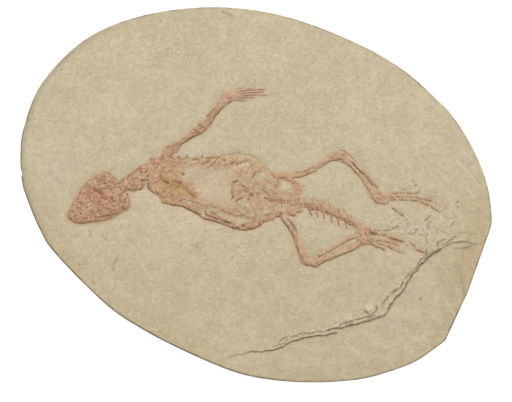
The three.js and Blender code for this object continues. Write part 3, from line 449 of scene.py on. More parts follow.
# %% Dark crevices of the feet and the tail
CREVICES += strokes(
    (0.4, 0.28, 53, -0.8, 57.3, -0.7), (0.42, 0.28, 53, -2, 57, -1.8, 61, -1.9, 65, -2.1),
    (0.2, 0.28, 55, 0.4, 57.3, 0.5), (0.56, 0.3, 58, 2.4, 60, 2.3), (0.25, 0.3, 60.3, 0.5),
    (0.45, 0.3, 61.5, 0.5, 63, 0.9), (0.5, 0.35, 64, 1, 65.5, 1.4), (0.42, 0.3, 63, -0.7, 65.5, -1),
    (0.56, 0.3, 66.3, -1.4, 68, -2.1), (0.35, 0.3, 65.5, -2.4, 67.8, -3.2),
    (0.48, 0.3, 69.3, -2.3, 71, -2.5), (0.5, 0.35, 69.3, -4.5, 71, -5.2, 73.3, -6.5),
    (0.25, 0.3, 74.5, -7.5, 75.8, -7.9), (0.3, 0.3, 76.2, -8.3, 76.8, -9.2),
    (0.45, 0.35, 54.5, -5, 56.4, -6.4), (0.45, 0.35, 57.5, -7.2, 58.8, -8.2), (0.48, 0.35, 60.2, -9.7),
    (0.4, 0.35, 67.2, -10.2, 69.5, -8.2), (0.4, 0.35, 68.5, -11, 69.8, -9.8), (0.4, 0.3, 62, 4.5, 64, 3.8),
    (0.4, 0.35, 80.5, -2.7), (0.4, 0.35, 80.6, -4.5), (0.36, 0.4, 60, 9.5),
    (0.95, 0.6, 46, -15, 47.8, -15.6), (0.8, 0.5, 51.3, -15.8), (0.9, 0.55, 53.5, -16.7),
    (0.85, 0.5, 54.3, -17, 56.3, -17.4), (0.4, 0.3, 54, -18.2, 58.3, -18.5), (0.9, 0.45, 60.2, -20.2),
    (0.8, 0.42, 61.6, -19.2, 63.2, -20.6), (0.35, 0.3, 64, -21, 64, -22),
    (0.8, 0.4, 64, -21.8, 65.6, -22.6, 67.4, -23.2), (0.5, 0.35, 63.4, -19, 65, -18.6),
    (0.85, 0.38, 67.9, -21.8, 67.9, -24), (0.4, 0.4, 69, -24),
    (0.4, 0.3, 51, -14.2, 54, -13.5, 55.5, -12.7, 56.2, -12.1),
    (0.65, 0.45, 52.8, -20.4, 53.6, -21.4, 55, -21.7), (0.6, 0.45, 56.8, -21.6),
    (0.4, 0.3, 58, -23, 59.4, -23.6), (0.64, 0.35, 19.3, -3, 19.7, -4.5),
    (0.64, 0.35, 20, -3.3, 22.8, -3.2), (0.9, 0.5, 21.8, -4.8, 22.5, -5.6), (0.5, 0.5, 24.2, -5.1),
    (0.5, 0.4, 26, -6.6), (0.4, 0.4, 28.6, -7.6, 30, -7.4), (0.4, 0.4, 32, -8.3, 32.8, -9.2),
    (0.4, 0.35, 20.3, -5.3, 22, -8), (0.48, 0.3, 23.5, -6.8, 24.5, -8.5), (0.4, 0.3, 26.5, -7.8, 27, -9),
    (0.38, 0.3, 29.8, -9, 30.2, -11), (0.48, 0.3, 32.3, -9.5, 33, -12), (0.3, 0.3, 35.8, -12, 36.2, -13.5),
    (0.35, 0.35, 28.7, -3, 29, -4.5), (0.5, 0.4, 34.8, -5.5, 35.2, -6.8), (0.36, 0.35, 23.6, -0.8),
    (0.4, 0.3, 23.6, -2.2, 25.2, -1.8, 27, -1.6, 28.6, -2.2, 29.2, -3.6),
    (0.4, 0.35, 25.4, -3.2, 25.8, -4.4), (0.45, 0.35, 30.6, -4.8, 31.6, -5.8),
    (0.45, 0.35, 37.6, -8, 38, -9.4), (0.4, 0.35, 32.8, -6.4, 33.4, -7.4),
    (0.45, 0.35, 23, -1.4, 22.6, -2.8), (0.35, 0.3, 40.2, -11, 42.6, -11.4),
    (0.4, 0.3, 44, -18, 50, -18.4, 56, -19.2), (0.5, 0.35, 44, -19.4, 46, -19.4, 48, -20.4),
    (0.45, 0.4, 50.6, -21.4, 51.4, -21.9), (0.35, 0.3, 57.6, -1.4, 59.4, -1.3),
    (0.3, 0.3, 68, -3.4, 69, -4.4), (0.6, 0.5, 23.6, -4.2, 24.6, -5.8),
    (0.55, 0.45, 25.8, -5.2, 26.4, -6.8), (0.65, 0.5, 27.8, -6.2, 28.6, -7.8),
    (0.55, 0.45, 30, -6.8, 30.6, -8.2), (0.7, 0.5, 31.4, -7.6, 32.2, -9.2),
    (0.55, 0.45, 33.4, -8.6, 33.8, -10), (0.65, 0.5, 35, -9.6, 35.8, -11),
    (0.55, 0.45, 36.8, -9.8, 37.4, -11.8), (0.6, 0.5, 38.4, -10.6, 38.8, -12.6),
    (0.6, 0.35, 26.6, -2.4, 27, -3.8), (0.6, 0.35, 32.4, -5.2, 33, -6.6), (0.6, 0.35, 36.2, -7.6, 36.8, -9),
    (0.8, 0.45, 54.6, -5, 55.8, -5.9), (0.8, 0.42, 57.6, -7.4, 58.5, -8.1), (0.8, 0.42, 60.2, -9.8),
    (1.2, 0.7, 45.4, -14.5, 46.6, -14.9, 47.8, -15.3), (0.75, 0.5, 50.6, -15.3, 51.6, -15.9),
    (0.9, 0.45, 54.2, -17.2, 56.4, -17.8, 58.6, -18.4),
)
print("Crevices in all:", len(CREVICES))

# %% Dark lines of the ledge
# Painted shadow: the dark lines along the ledge lie on the lower side of its steps, where the upper bed
# keeps the light off. The stone's own small dark marks are added to the same list below.
LEDGE_SPREAD = 1.3
LEDGE_STROKES = strokes(
    (0.36, 0.4, -11.2, -65, -10.1, -64.3, -7.9, -63.8, -5.1, -63.7, -3.4, -62.7),
    (0.68, 0.4, -3.4, -62.7, -2, -62.3, 3.6, -62.4, 6.2, -62, 9.5, -61),
    (0.5, 0.35, 9.5, -61, 12.1, -59.8, 13.5, -58.8, 14.9, -58.4),
    (0.72, 0.45, 14.9, -58.4, 19.1, -57.2, 23, -56.4, 28.3, -55.9, 31.7, -54.9),
    (0.54, 0.35, 6.5, -60.3, 8.4, -60.3, 9.8, -59.6, 11.5, -58.9, 12.9, -57.5),
    (0.63, 0.35, 9.5, -58.1, 10.7, -57.2, 12.3, -56.4),
    (0.41, 0.35, 13.8, -56.3, 17.7, -55.3, 21.9, -55, 23, -54.4), (0.27, 0.3, 16, -58.6, 19.1, -57.9),
    (0.77, 0.45, 28.7, -53.9, 31.7, -53.2, 36, -52.6, 40.6, -51.4, 45.6, -49.8, 49.9, -48.3, 51.2, -47.9,
     52.1, -46.8, 52.9, -45.1, 55.4, -41.8),
    (0.54, 0.35, 33.3, -51.8, 35.3, -50.5, 38, -50.3, 39, -50.6), (0.72, 0.45, 36, -51.5, 38.6, -51.5),
    (0.59, 0.4, 40, -49.8, 42.6, -48.8, 45.6, -48.6, 47.3, -48),
    (0.72, 0.4, 44, -46.4, 45.3, -47.4, 46.6, -47.1, 47.9, -45.8, 48.2, -44.1),
    (0.81, 0.42, 55.4, -41.8, 57.5, -39, 58.9, -37.6, 60.1, -35.4, 61.2, -33.1, 62.3, -31.2, 64, -29.8,
     65.1, -28.4, 66.8, -27, 67.9, -25.3, 70.7, -23.3, 74.1, -21.1),
    (0.65, 0.9, 67.4, -25, 69, -24.2, 71, -22.8, 73, -21.6),
    (0.5, 0.4, 74.1, -21.1, 77.5, -19.4, 79.7, -18.8, 81.7, -18.5, 84.5, -18.8, 87.9, -19.2),
    (0.63, 0.4, 50.5, -43, 52.5, -40.7), (0.68, 0.42, 54.6, -38.7, 56.1, -37.3),
    (0.68, 0.42, 57.8, -36.2, 58.9, -34.5), (0.68, 0.4, 59.8, -32.9, 60.6, -32, 61, -30.9),
    (0.72, 0.4, 62, -30.5, 64, -28.9, 64.8, -27.5, 66.2, -25.3),
    (0.7, 0.38, 74.1, -19.7, 76.3, -18.8, 78.6, -17.1, 79.7, -16.4),
    (0.6, 0.38, 72.4, -20.5, 72.7, -18.5, 75.2, -17.1), (0.65, 0.36, 79.2, -21.3, 82.5, -20.9, 85.9, -20.2),
    (0.27, 0.4, 76.6, -15.4, 80.3, -15.2, 83.1, -14.9, 88.1, -15.4), (0.63, 0.6, 65.8, -41.6),
    (0.27, 0.5, 58.6, -50.6, 60.4, -50.9), (0.41, 0.45, 30.2, -68), (0.23, 0.5, 20.7, -66.2),
    (0.45, 0.4, -13.8, 73.4, -9.8, 71.8), (0.36, 0.5, -55.8, -24.2, -57.4, -29.8),
    (0.32, 0.5, -24.6, -19, -22.6, -21.8),
)
LEDGE_SHADES = [
    (darkness, half_width * LEDGE_SPREAD, points) for darkness, half_width, points in LEDGE_STROKES
]
STONE_MARKS = strokes(
    (0.35, 0.35, -16, -13.8, -13.6, -13.8, -11.9, -14.8), (0.4, 0.5, -18.4, -15.2),
    (0.35, 0.35, -21.8, -18.2, -21.6, -20.3), (0.35, 0.35, -25.6, -20.3, -23.9, -20.9, -22.5, -20.6),
    (0.3, 0.35, -23.9, -18.6, -21.8, -19), (0.3, 0.35, -6.1, -18.9, -3.4, -19.6), (0.25, 0.5, 0, -18.6),
    (0.25, 0.4, -62.2, -16.2, -60.1, -17.6), (0.25, 0.4, -66.3, -14.8, -67.7, -17.6),
    (0.2, 0.4, -72.4, -16.5, -71.1, -15.8), (0.35, 0.35, 62.4, 7, 62.5, 4.8, 64, 4),
    (0.6, 0.35, 79.8, -2.9, 81, -2.6), (0.6, 0.42, 80.4, -4.5, 81, -4.7),
    (0.4, 0.4, 67.2, -10.2, 69.6, -8.2), (0.45, 0.4, 68, -12.6, 69.4, -10.6),
    (0.3, 0.4, 72.2, -17, 72.4, -19), (0.5, 0.35, 63, -13, 64.2, -13.4, 63.8, -14.8, 62.4, -15.4),
    (0.4, 0.35, 61, -15, 62.4, -15.2), (0.5, 0.38, 67.9, -15, 68, -17, 68.1, -19),
    (0.4, 0.35, 65.6, -15.6, 66.8, -15.8), (0.4, 0.35, 71.2, -12.4, 72.4, -13.6),
    (0.4, 0.35, 74.4, -14.4, 75.4, -15), (0.5, 0.38, 77.6, -12.4, 78.6, -11, 79.2, -10.8),
    (0.4, 0.35, 79, -9.4, 79.6, -8.4), (0.3, 0.35, 74.6, -8, 76.8, -9.4),
    (0.35, 0.35, 60.4, -10.4, 61.4, -11.8),
)
LEDGE_SHADES += STONE_MARKS
# Painted highlight: a pale line just above each long dark line of the ledge, on the lit edge of the upper
# bed.
LIGHT_BESIDE = (-0.25, 0.75)
LEDGE_LIGHTS = [
    (darkness * 0.6, 0.35, [(x + LIGHT_BESIDE[0], y + LIGHT_BESIDE[1]) for x, y in points])
    for darkness, _, points in LEDGE_SHADES[1:16] if len(points) > 2
]
print("Dark lines of the ledge:", len(LEDGE_SHADES), "light ones:", len(LEDGE_LIGHTS))

# %% Ochre streaks, pink patches and pale scratches
OCHRE_STREAKS = strokes(
    (0.85, 1.4, -38.4, 7, -35, 5.8, -33, 5.6, -30.4, 5), (0.9, 1.7, -33.4, 4.4, -30.4, 3.8, -28.4, 2.8),
    (0.95, 1.6, -28.8, 2.6, -26.6, 1.2, -24.6, -0.4), (0.3, 2.4, -36, 4, -31, 2.4, -26, -0.6),
    (0.45, 1.0, -18, -3.6, -12, -5.6, -5, -7),
    (0.3, 0.9, -13, 16.2, -8, 16.8, -4, 16, 0, 15, 2, 12, 4, 10.5, 6, 8.6),
    (0.25, 1.4, -34, 19, -28, 22.4, -24.4, 25.4), (0.16, 7, 84, -4, 87, -14, 83, -26, 78, -34),
    (0.6, 1.3, 7, -1.2, 10, -1.8), (0.15, 1.0, 27, -24, 34, -20.8, 38, -19), (0.5, 1.3, 89.5, -18.5),
    (0.3, 0.8, 53, -17.4, 58.6, -18.6), (0.28, 3.2, 64, -4.6, 68, -3.6, 71, -0.6, 75, -4),
    (0.5, 0.9, -37.6, 3.4, -34, 3), (0.25, 1.2, -36, 9.4, -33, 9),
)
PINK_PATCHES = strokes(
    (0.6, 1.5, 33.5, 16.8), (0.4, 1.6, 47, 0.2, 50, -1.4), (0.35, 2.0, 42, -13.6, 42.2, -18),
    (0.7, 1.6, 16.2, 3), (0.6, 1.2, 55.4, -20.4), (0.8, 0.9, -53.3, 4.8), (0.8, 0.8, -48, 7.6),
    (0.6, 0.9, -41.5, 13), (0.7, 1.0, -44, 10), (0.3, 1.2, -8, -13.4, 2, -11), (0.6, 1.0, 12, 7.4, 8, 7.5),
    (0.6, 2.2, -64, 0, -60, -3), (0.9, 1.3, -65.4, 1.6, -63, 0.2),
    (0.6, 0.5, 23.8, -2.6, 25.6, -1.8, 28, -2, 29.2, -3.6), (0.5, 0.7, 30.4, -5, 31.6, -6.2),
    (0.5, 0.6, 34.6, -6, 35.4, -8), (0.5, 0.7, 37.6, -8.2, 38.2, -9.8), (0.5, 0.8, 21.8, -1.2, 22.8, -3),
    (0.5, 0.6, 64.4, -21, 67.2, -22.6), (0.8, 0.9, 9.7, -7.6),
)
COOL_GROUND = strokes(
    (0.9, 5.5, 55, -52, 58, -45, 64, -36, 70, -29), (0.6, 6, 58, -60, 66, -57),
    (0.7, 4.5, 60, -13, 70, -14), (0.5, 4, 50, -30, 58, -26), (0.4, 6, -60, 30, -48, 26),
    (0.4, 6, 22, 0, 30, 2), (0.6, 4, 48, 7, 54, 5), (0.6, 5, 86, 6, 84, 12), (0.8, 7, -84, 8, -76, 14),
)
PALE_SCRATCHES_AND_HIGHLIGHTS = [
    (0.9, 0.3, [(79.4, 15), (83, 11), (87.4, 6.2)]), (0.7, 0.3, [(81.4, 17.4), (85.4, 15.4)]),
    (0.6, 0.3, [(83.8, 4.2), (87.4, -1)]), (0.6, 0.35, [(76.2, -41.8), (79.4, -47.8)]),
    (0.5, 0.4, [(59.4, -53.8), (66, -59), (73.4, -63.8)]), (0.6, 0.3, [(-45.8, -26.6), (-44.6, -29.8)]),
    (0.6, 0.3, [(-4.6, -54.2), (-0.6, -56.6)]), (0.8, 0.5, [(21.4, 67.4)]),
    # The pale line from (38, 14.1) to (41.5, 10.6) is a painted highlight along the top of the right fibula.
    (0.7, 0.9, [(36, -49), (38, -49.2)]), (0.6, 0.3, [(38, 14.1), (40, 12.6), (41.5, 10.6)]),
    (1.0, 1.7, [(45.4, -44.9)]), (0.4, 0.5, [(10.1, -42), (10.1, -49.4)]),
    (0.4, 0.4, [(-11, -27.8), (-5, -21.9)]), (0.8, 1.0, [(37.5, -48.2)]),
    (0.5, 0.35, [(-4.2, -56.7), (0.6, -53)]), (0.5, 0.4, [(66.2, -56), (69.1, -59.7)]),
    (0.9, 0.4, [(80.7, -3.7)]), *LEDGE_LIGHTS,
]
STAINED = strokes(
    (0.75, 1.4, 33.2, 16.2, 36.2, 14.4), (0.7, 1.2, 45, 2.4, 47, 1), (0.7, 1.3, 47.4, 3.6, 48, 0.6),
    (0.6, 1.1, 39.6, -19.8, 41, -18), (0.6, 1.1, 38.8, -16.4, 40.6, -15.4), (0.65, 1.6, 37.4, -11, 41, -13),
    (0.5, 1.4, 44, -15.2, 50, -16.6, 55, -18.2), (0.6, 1.6, 44, -18.4, 50, -20),
    (0.8, 2.2, 47, -18.8, 52, -19.8, 56, -20.4), (0.35, 1.4, 61, -20.4, 67, -22.6),
    (0.6, 2.2, 20, -2.8, 24, -2.6, 28, -4), (0.6, 2.0, 28, -4.4, 34, -7.2, 38, -10),
    (0.55, 1.5, 53, -0.9, 58, -0.8), (0.6, 1.2, -37, 16.4, -35.6, 17.4), (0.6, 1.2, -23.4, 26, -22, 28),
    (0.6, 1.1, -14.6, 37, -12.6, 38), (0.55, 2.2, -8, 40.4, -3, 40.6, 1.6, 41.4),
    (0.5, 0.9, -22.4, -7, -20, -8.4), (0.4, 1.0, 20, -26, 23, -26.6),
    (0.7, 1.1, -31, 14.2, -27, 14.6, -22, 14.6), (0.7, 1.0, 4, -8.6, 9.4, -7.6),
)
UNSTAINED = strokes(
    (0.95, 2.3, 11, 3, 11.6, 4.4), (0.9, 1.5, 1.5, 6.7), (0.7, 0.9, 4.8, 3.6), (0.8, 1.3, 3.5, -6.4),
    (0.5, 0.9, -3.6, 6.6), (0.5, 0.8, -7.4, 0.6), (0.5, 1.0, 10.6, -4.6),
)
ROUGH_GROUND = strokes(
    (0.7, 6, -44, 60, -34, 60, -26, 56), (0.3, 6, -12, 33, 6, 32, 24, 25), (0.3, 5, -64, 24, -58, 30),
    (0.9, 2.4, 8, -59.6, 14, -56, 30, -52, 44, -47.4, 50, -42.6, 57, -35.6, 62, -28.4, 68, -21.6, 74, -16.6),
    (0.6, 6, 58, 5, 64, 3, 72, -4, 78, -8), (0.95, 5.5, 56, -12, 66, -14, 72, -15),
    (0.35, 4, -20, -14, -10, -20), (0.3, 6, -10, 27, 0, 22), (0.3, 5, -46, -22, -42, -28),
    (0.35, 4, 10, -14, 8, -22), (0.3, 5, 64, 20, 72, 14), (0.35, 4, 60, -43, 66, -46),
)
print("Streaks:", len(OCHRE_STREAKS), "patches:", len(PINK_PATCHES), "scratches:", len(PALE_SCRATCHES_AND_HIGHLIGHTS))

# %% [markdown]
# ## From lines to strengths
# Each skin, of stone or of bone, asks the same question at its points: how near is the next line, and
# how strong is it there? NumPy answers for all points at once. The result is kept on the mesh as an
# attribute, a number at each vertex that a material can read.

# %% Strength of the nearest line at every point
def nearness(places, start, end, half_width):
    """From 1 on the line from start to end down to 0 at half_width away from it, for each place."""
    low = np.minimum(start, end) - half_width
    high = np.maximum(start, end) + half_width
    near = np.nonzero(np.all((places > low) & (places < high), axis=1))[0]
    along = end - start
    length_squared = max(float(along @ along), 1e-9)
    offset = places[near] - start
    share = np.clip(offset @ along / length_squared, 0, 1)
    distance = np.linalg.norm(offset - share[:, None] * along, axis=1)
    fall = np.clip(1 - distance / half_width, 0, 1)
    return near, fall * fall * (3 - 2 * fall)


LINE_SPREAD = 1.4


def line_strength(places, lines):
    """The strongest of all lines at each place."""
    strength = np.zeros(len(places))
    for darkness, half_width, points in lines:
        stops = np.array(points if len(points) > 1 else points * 2, float)
        for start, end in zip(stops, stops[1:]):
            near, fall = nearness(places, start, end, half_width * LINE_SPREAD)
            strength[near] = np.maximum(strength[near], darkness * fall)
    return strength


probe = np.array([(-63.5, 1.1), (0.0, 60.0)])
print("Strength in the eye pit and on bare stone:", line_strength(probe, CREVICES).round(2))

# %% [markdown]
# ## Natural roughness
# Stone and old bone are rough at every scale. Blender's noise module gives a smooth random field that
# is the same on each run, because it has no clock or seed behind it. Adding finer and weaker copies
# of it gives the look of broken material. Shifting the place by a seed gives another, unlike field.

# %% Layered noise at a list of places
def rough_field(places, size, octaves=3, seed=0.0):
    """Layered noise from about -1 to 1 at each place, with lumps of the given size in mm."""
    shift = Vector((seed * 17.3, seed * 5.1, seed * 9.7))
    return np.array([
        noise.fractal(Vector(place) / size + shift, 1.0, 2.0, octaves) for place in places
    ])


def flat_field(places, size, octaves=3, seed=0.0):
    """The same noise for places that have only an x and a y."""
    return rough_field(np.column_stack([places, np.zeros(len(places))]), size, octaves, seed)


LINE_SWAY = (2.6, 2, 0.42)
LEDGE_SWAY = (3.0, 3, 0.42)
PIT_SWAY = (1.0, 2, 0.16)


def swayed(places, sway=LINE_SWAY):
    """Places pushed about by noise. A straight stroke looked up at them comes out ragged."""
    size, octaves, amount = sway
    push = [flat_field(places, size, octaves, seed) for seed in (61, 62)]
    return places + amount * np.column_stack(push)


def ragged_strength(places, lines, sway=LINE_SWAY):
    """The strength of lines that sway, swell and fade along their way. Single pits stay put."""
    uneven = np.clip(1 + 0.6 * flat_field(places, 1.7, 2, 63), 0.7, 1.15)
    strokes = line_strength(swayed(places, sway), [line for line in lines if len(line[2]) > 1])
    pits = line_strength(swayed(places, PIT_SWAY), [line for line in lines if len(line[2]) == 1])
    return np.clip(np.maximum(strokes * uneven, pits), 0, 1)


sample = flat_field(np.array([(x * 1.7, 3.0) for x in range(400)]), 4.0)
print("Noise runs from", round(float(sample.min()), 2), "to", round(float(sample.max()), 2))

# %% [markdown]
# ## A smooth way through a few points
# A route has only the points that its shape needs. A Catmull-Rom curve passes through all of them
# without corners, and carries the width and the height along with the place.

# %% Points along a smooth route
def smooth_route(route, spacing):
    """Points every spacing mm or so on a smooth curve through the route, with all its columns."""
    stops = np.array(route, float)
    stops = np.vstack([2 * stops[0] - stops[1], stops, 2 * stops[-1] - stops[-2]])
    stretches = []
    for before, start, end, after in zip(stops, stops[1:], stops[2:], stops[3:]):
        count = max(1, round(float(np.linalg.norm((end - start)[:2])) / spacing))
        t = np.linspace(0, 1, count, endpoint=False)[:, None]
        stretches.append(0.5 * (
            2 * start + (end - before) * t
            + (2 * before - 5 * start + 4 * end - after) * t ** 2
            + (3 * start - before - 3 * end + after) * t ** 3
        ))
    return np.vstack([*stretches, stops[-2:-1]])


print("Points on the right thigh bone:", len(smooth_route(RIGHT_FEMUR, 0.3)))

# %% [markdown]
# ## The plate
# The plate is a disc of limestone with an upper bed, a rim that was broken to an oval, and a ledge
# where the upper bed has split away. One way to model it is a displaced grid, but an even grid that
# is fine enough for the crevices would need millions of faces. Here the points are chosen first:
# dense near bones, lines and the ledge, and sparse on bare stone. A Delaunay triangulation then joins
# them. The height of each point comes from one function.

# %% The outline of the plate
OVAL_RIM = [
    (94.3, -8.4), (93.2, 1), (90.6, 10), (86.4, 19.2), (80.5, 29.2), (74.4, 36.4), (58, 50.9), (36, 62.9),
    (9, 72.4), (-18, 75.5), (-46, 72), (-68.5, 62.6), (-86, 45), (-93.3, 27), (-94.6, 16), (-94, 6),
    (-92.4, 0), (-87.2, -12.8), (-80.4, -23.5), (-60, -43.9), (-45, -54), (-30, -61.8), (-12, -69.6),
    (0, -73), (13, -74.7), (22, -75), (31, -74.8), (45, -73.1), (62, -67.5), (72, -61.1), (75.8, -58.1),
]
BROKEN_RIM = [(80.4, -48), (84.2, -40), (88.4, -28), (92, -18), (94, -12.4)]
RIM_CHIPS = [
    (-95.6, 26, 1.7), (-95.8, 17, 1.4), (-95, 9, 1.6), (-76.6, -30.4, 1.5), (-9, 76.6, 1.8),
    (91.4, -25.2, 1.7), (84.6, -42.4, 1.6), (81.1, -50, 1.6), (37, -75.8, 1.5), (70, 42.6, 1.4),
]
RIM_SPACING = 0.85
RIM_SAFETY = 0.02


def moved_inwards(loop, inset):
    along = np.roll(loop, -1, axis=0) - np.roll(loop, 1, axis=0)
    along /= np.linalg.norm(along, axis=1)[:, None]
    inwards = np.column_stack([-along[:, 1], along[:, 0]])
    return loop + inwards * np.reshape(inset, (-1, 1))


def rim_points():
    """The outline, counter-clockwise. It stays inside the solid's box, and follows the photo's edge."""
    oval = smooth_route(OVAL_RIM, RIM_SPACING)
    broken = smooth_route([OVAL_RIM[-1], *BROKEN_RIM, OVAL_RIM[0]], RIM_SPACING)
    return moved_inwards(np.vstack([oval, broken[1:-1]]), RIM_SAFETY)


rim = rim_points()
print("Points round the rim:", len(rim))

# %% The edges of the lower beds
LEDGE_DEPTH = 1.1
LAMINA_DEPTH = 0.45
LEDGE_EDGE = [
    (-11.4, -65), (-9.5, -64), (-5, -63.6), (-2, -62.5), (3, -62.2), (6, -62), (10, -60.6),
    (14, -58.4), (18, -57), (24, -56.1), (31.5, -55), (34, -52.8), (38, -51.6), (44, -50.5),
    (48, -49.3), (51.5, -47.8), (53, -44), (56.5, -40), (60, -36), (62.5, -31.5), (67, -26.2),
    (71, -23), (75.5, -20), (80, -18.6), (88, -19.2),
]
LAMINA_EDGE = [
    (9.5, -58.2), (12.2, -56.5), (18, -55.2), (26, -54.2), (32, -52.6), (36, -50.6), (42, -49),
    (46, -47.6), (48.4, -45.4), (51, -42.6), (54.6, -38.8), (57.4, -36.6), (58.8, -34),
    (60.2, -31.6), (63.6, -28.4), (66, -25.4),
]
EDGE_SPACING = 0.3
ledge = smooth_route(LEDGE_EDGE, EDGE_SPACING)
lamina = smooth_route(LAMINA_EDGE, EDGE_SPACING)
print("Points along the ledge and the lamina:", len(ledge), len(lamina))

# %% [markdown]
# ### How deep a point lies below the upper bed
# A step has a side that is low and a side that is high. The nearest point of its edge tells how far
# away the step is, and the direction of the edge there tells the side. The depth fades towards both
# ends of the edge, where the real step runs out.

# %% Depth below the upper bed
CLIFF_WIDTH = 0.28
LEAST_STEP = 0.12


def side_distance(places, edge, reach):
    """Distance to the edge, positive on its low side, and the share of the way along it."""
    distance = np.full(len(places), reach)
    share = np.zeros(len(places))
    steps = len(edge) - 1
    for start, end in [(i, min(i + 24, steps)) for i in range(0, steps, 24)]:
        stretch = edge[start:end + 1]
        offset = places[:, None, :] - stretch[None, :-1, :]
        along = np.diff(stretch, axis=0)
        length_squared = (along ** 2).sum(1)
        t = np.clip((offset * along).sum(2) / length_squared, 0, 1)
        gap = offset - t[..., None] * along
        size = np.linalg.norm(gap, axis=2)
        nearest = size.argmin(1)
        rows = np.arange(len(places))
        closer = size[rows, nearest] < np.abs(distance)
        cross = along[nearest, 0] * offset[rows, nearest, 1] - along[nearest, 1] * offset[rows, nearest, 0]
        signed = np.where(cross < 0, 1, -1) * size[rows, nearest]
        distance[closer] = signed[closer]
        share[closer] = (start + nearest + t[rows, nearest])[closer] / steps
    return distance, share


def smooth_step(values):
    clipped = np.clip(values, 0, 1)
    return clipped * clipped * (3 - 2 * clipped)


def step_down(places, edge, depth, reach=400.0):
    """How far the bed steps down at each place."""
    distance, share = side_distance(places, edge, reach)
    fade = smooth_step(np.minimum(share / 0.25, (1 - share) / 0.2))
    full = depth * (LEAST_STEP + (1 - LEAST_STEP) * fade)
    ends = np.clip(np.minimum(share, 1 - share) / 0.03, 0, 1)
    return full * ends * smooth_step(distance / CLIFF_WIDTH)


probe = np.array([(60.0, -60.0), (0.0, 0.0)])
print("Steps below the upper bed:", step_down(probe, ledge, LEDGE_DEPTH).round(2))

# %% [markdown]
# ### How near a point lies to a bone
# The stone changes close to the bones: it is stained pink, and its surface is worked more finely. The
# gap to the nearest bone is the distance to its route less half its width there. The same gap tells
# where the mesh of the plate has to be dense.

# %% The gap between a place and the nearest bone
FAR = 9.0
LONG_BONES = {
    "right_humerus": RIGHT_HUMERUS, "right_radius": RIGHT_RADIUS, "right_ulna": RIGHT_ULNA,
    "left_humerus": LEFT_HUMERUS, "left_radius": LEFT_RADIUS, "left_ulna": LEFT_ULNA,
    "right_femur": RIGHT_FEMUR, "right_tibia": RIGHT_TIBIA, "right_fibula": RIGHT_FIBULA,
    "left_femur": LEFT_FEMUR, "left_tibia": LEFT_TIBIA, "left_fibula": LEFT_FIBULA,
}
SKULL_RIM = [(x, y, 0.2, 0) for x, y in [*SKULL_OUTLINE, SKULL_OUTLINE[0]]]
FLANKS = [[(x, y, 0.3, 0) for x, y in flank] for flank in (RIGHT_FLANK, LEFT_FLANK)]
LARGE_ROUTES = [
    *LONG_BONES.values(), SKULL_RIM, NECK, *SHOULDER, RIGHT_WRIST, LEFT_HAND, BACKBONE, *FLANKS,
    *PELVIS, RIGHT_ANKLE, LEFT_ANKLE, TAIL_BASE, TAIL_END, TAIL_TIP,
]
THIN_ROUTES = [*NECK_RIBS, *RIGHT_FINGERS, *RIGHT_TOES, *LEFT_TOES, *TAIL_SPINES]
ALL_ROUTES = LARGE_ROUTES + THIN_ROUTES


def gap_to_routes(places, routes, far=FAR):
    """Distance in mm to the edge of the nearest route, negative on the bone, and far at most."""
    gap = np.full(len(places), far)
    for route in routes:
        stops = smooth_route(route, 1.2)
        for start, end in zip(stops, stops[1:]):
            reach = far + max(start[2], end[2])
            low = np.minimum(start, end)[:2] - reach
            high = np.maximum(start, end)[:2] + reach
            near = np.nonzero(np.all((places > low) & (places < high), axis=1))[0]
            along = (end - start)[:2]
            offset = places[near] - start[:2]
            share = np.clip(offset @ along / max(float(along @ along), 1e-9), 0, 1)
            distance = np.linalg.norm(offset - share[:, None] * along, axis=1)
            width = start[2] + share * (end[2] - start[2])
            gap[near] = np.minimum(gap[near], distance - width)
    return gap


probe = np.array([(22.0, 10.2), (22.0, 14.0)])
print("Gap on and beside the right thigh bone:", gap_to_routes(probe, ALL_ROUTES).round(2))

# %% Places inside an outline
TRUNK_OUTLINE = [
    (-43.5, 13), (-41, 15), (-34, 15.4), (-26, 15.2), (-18, 15.6), (-8, 16.6), (0, 15), (5, 10),
    (8, 8), (12, 8.6), (16, 6), (19, 3), (20, -3), (16, -8), (9, -8.6), (3, -9.6), (-2, -10.4),
    (-9, -9.6), (-18, -7), (-26, -5.8), (-36, -3.4), (-42, 1.4), (-44.5, 6),
]
FILM_OUTLINE = [
    (-29, 10.6), (-25, 10.8), (-20, 10.2), (-14, 10.4), (-9.6, 9.8), (-9.6, 6), (-10.4, 2), (-9.4, -1),
    (-8.6, -4.6), (-11.6, -5.4), (-16, -3.2), (-20.6, -0.6), (-23.8, 3), (-27, 6.4), (-29.4, 8.4),
]
RIGHT_ANKLE_OUTLINE = [
    (44.5, 1.4), (46.3, -1.2), (47.6, -3), (50.6, -3.8), (52.8, -3.4), (53.6, -1.2), (53.2, 0.9),
    (49.8, 1.4), (48.4, 3.1), (46.7, 4),
]
LEFT_ANKLE_OUTLINE = [
    (39.8, -12.1), (39.3, -15.6), (40.2, -18.2), (42.4, -19.9), (44.1, -19), (45, -16.8), (46.7, -15.1),
    (45.6, -13.6), (44.1, -12.5), (42.4, -11.2),
]
RIGHT_KNEE_OUTLINE = [
    (29.6, 14.7), (30.2, 16.2), (32, 17.4), (34.7, 17.9), (36.6, 16.6), (38.2, 15), (39.6, 13.4),
    (38.2, 12.4), (36.6, 12.9), (35, 14), (33, 14.5), (31, 14.3),
]
NECK_OUTLINE = [
    (-56.6, 4), (-54.2, 5), (-53.2, 6.9), (-51.8, 7.7), (-50.2, 7.6), (-49.2, 8.4), (-48.2, 9.4),
    (-47.2, 9.9), (-46.2, 11.5), (-44.6, 12.1), (-42.6, 12.6), (-42, 9), (-42.9, 5.8), (-44.4, 6.2),
    (-45.9, 5.6), (-45.2, 4.2), (-45.8, 2.9), (-48, 2.2), (-50.8, 2), (-52.6, 1.6), (-54, -0.4), (-56, 1.4),
]
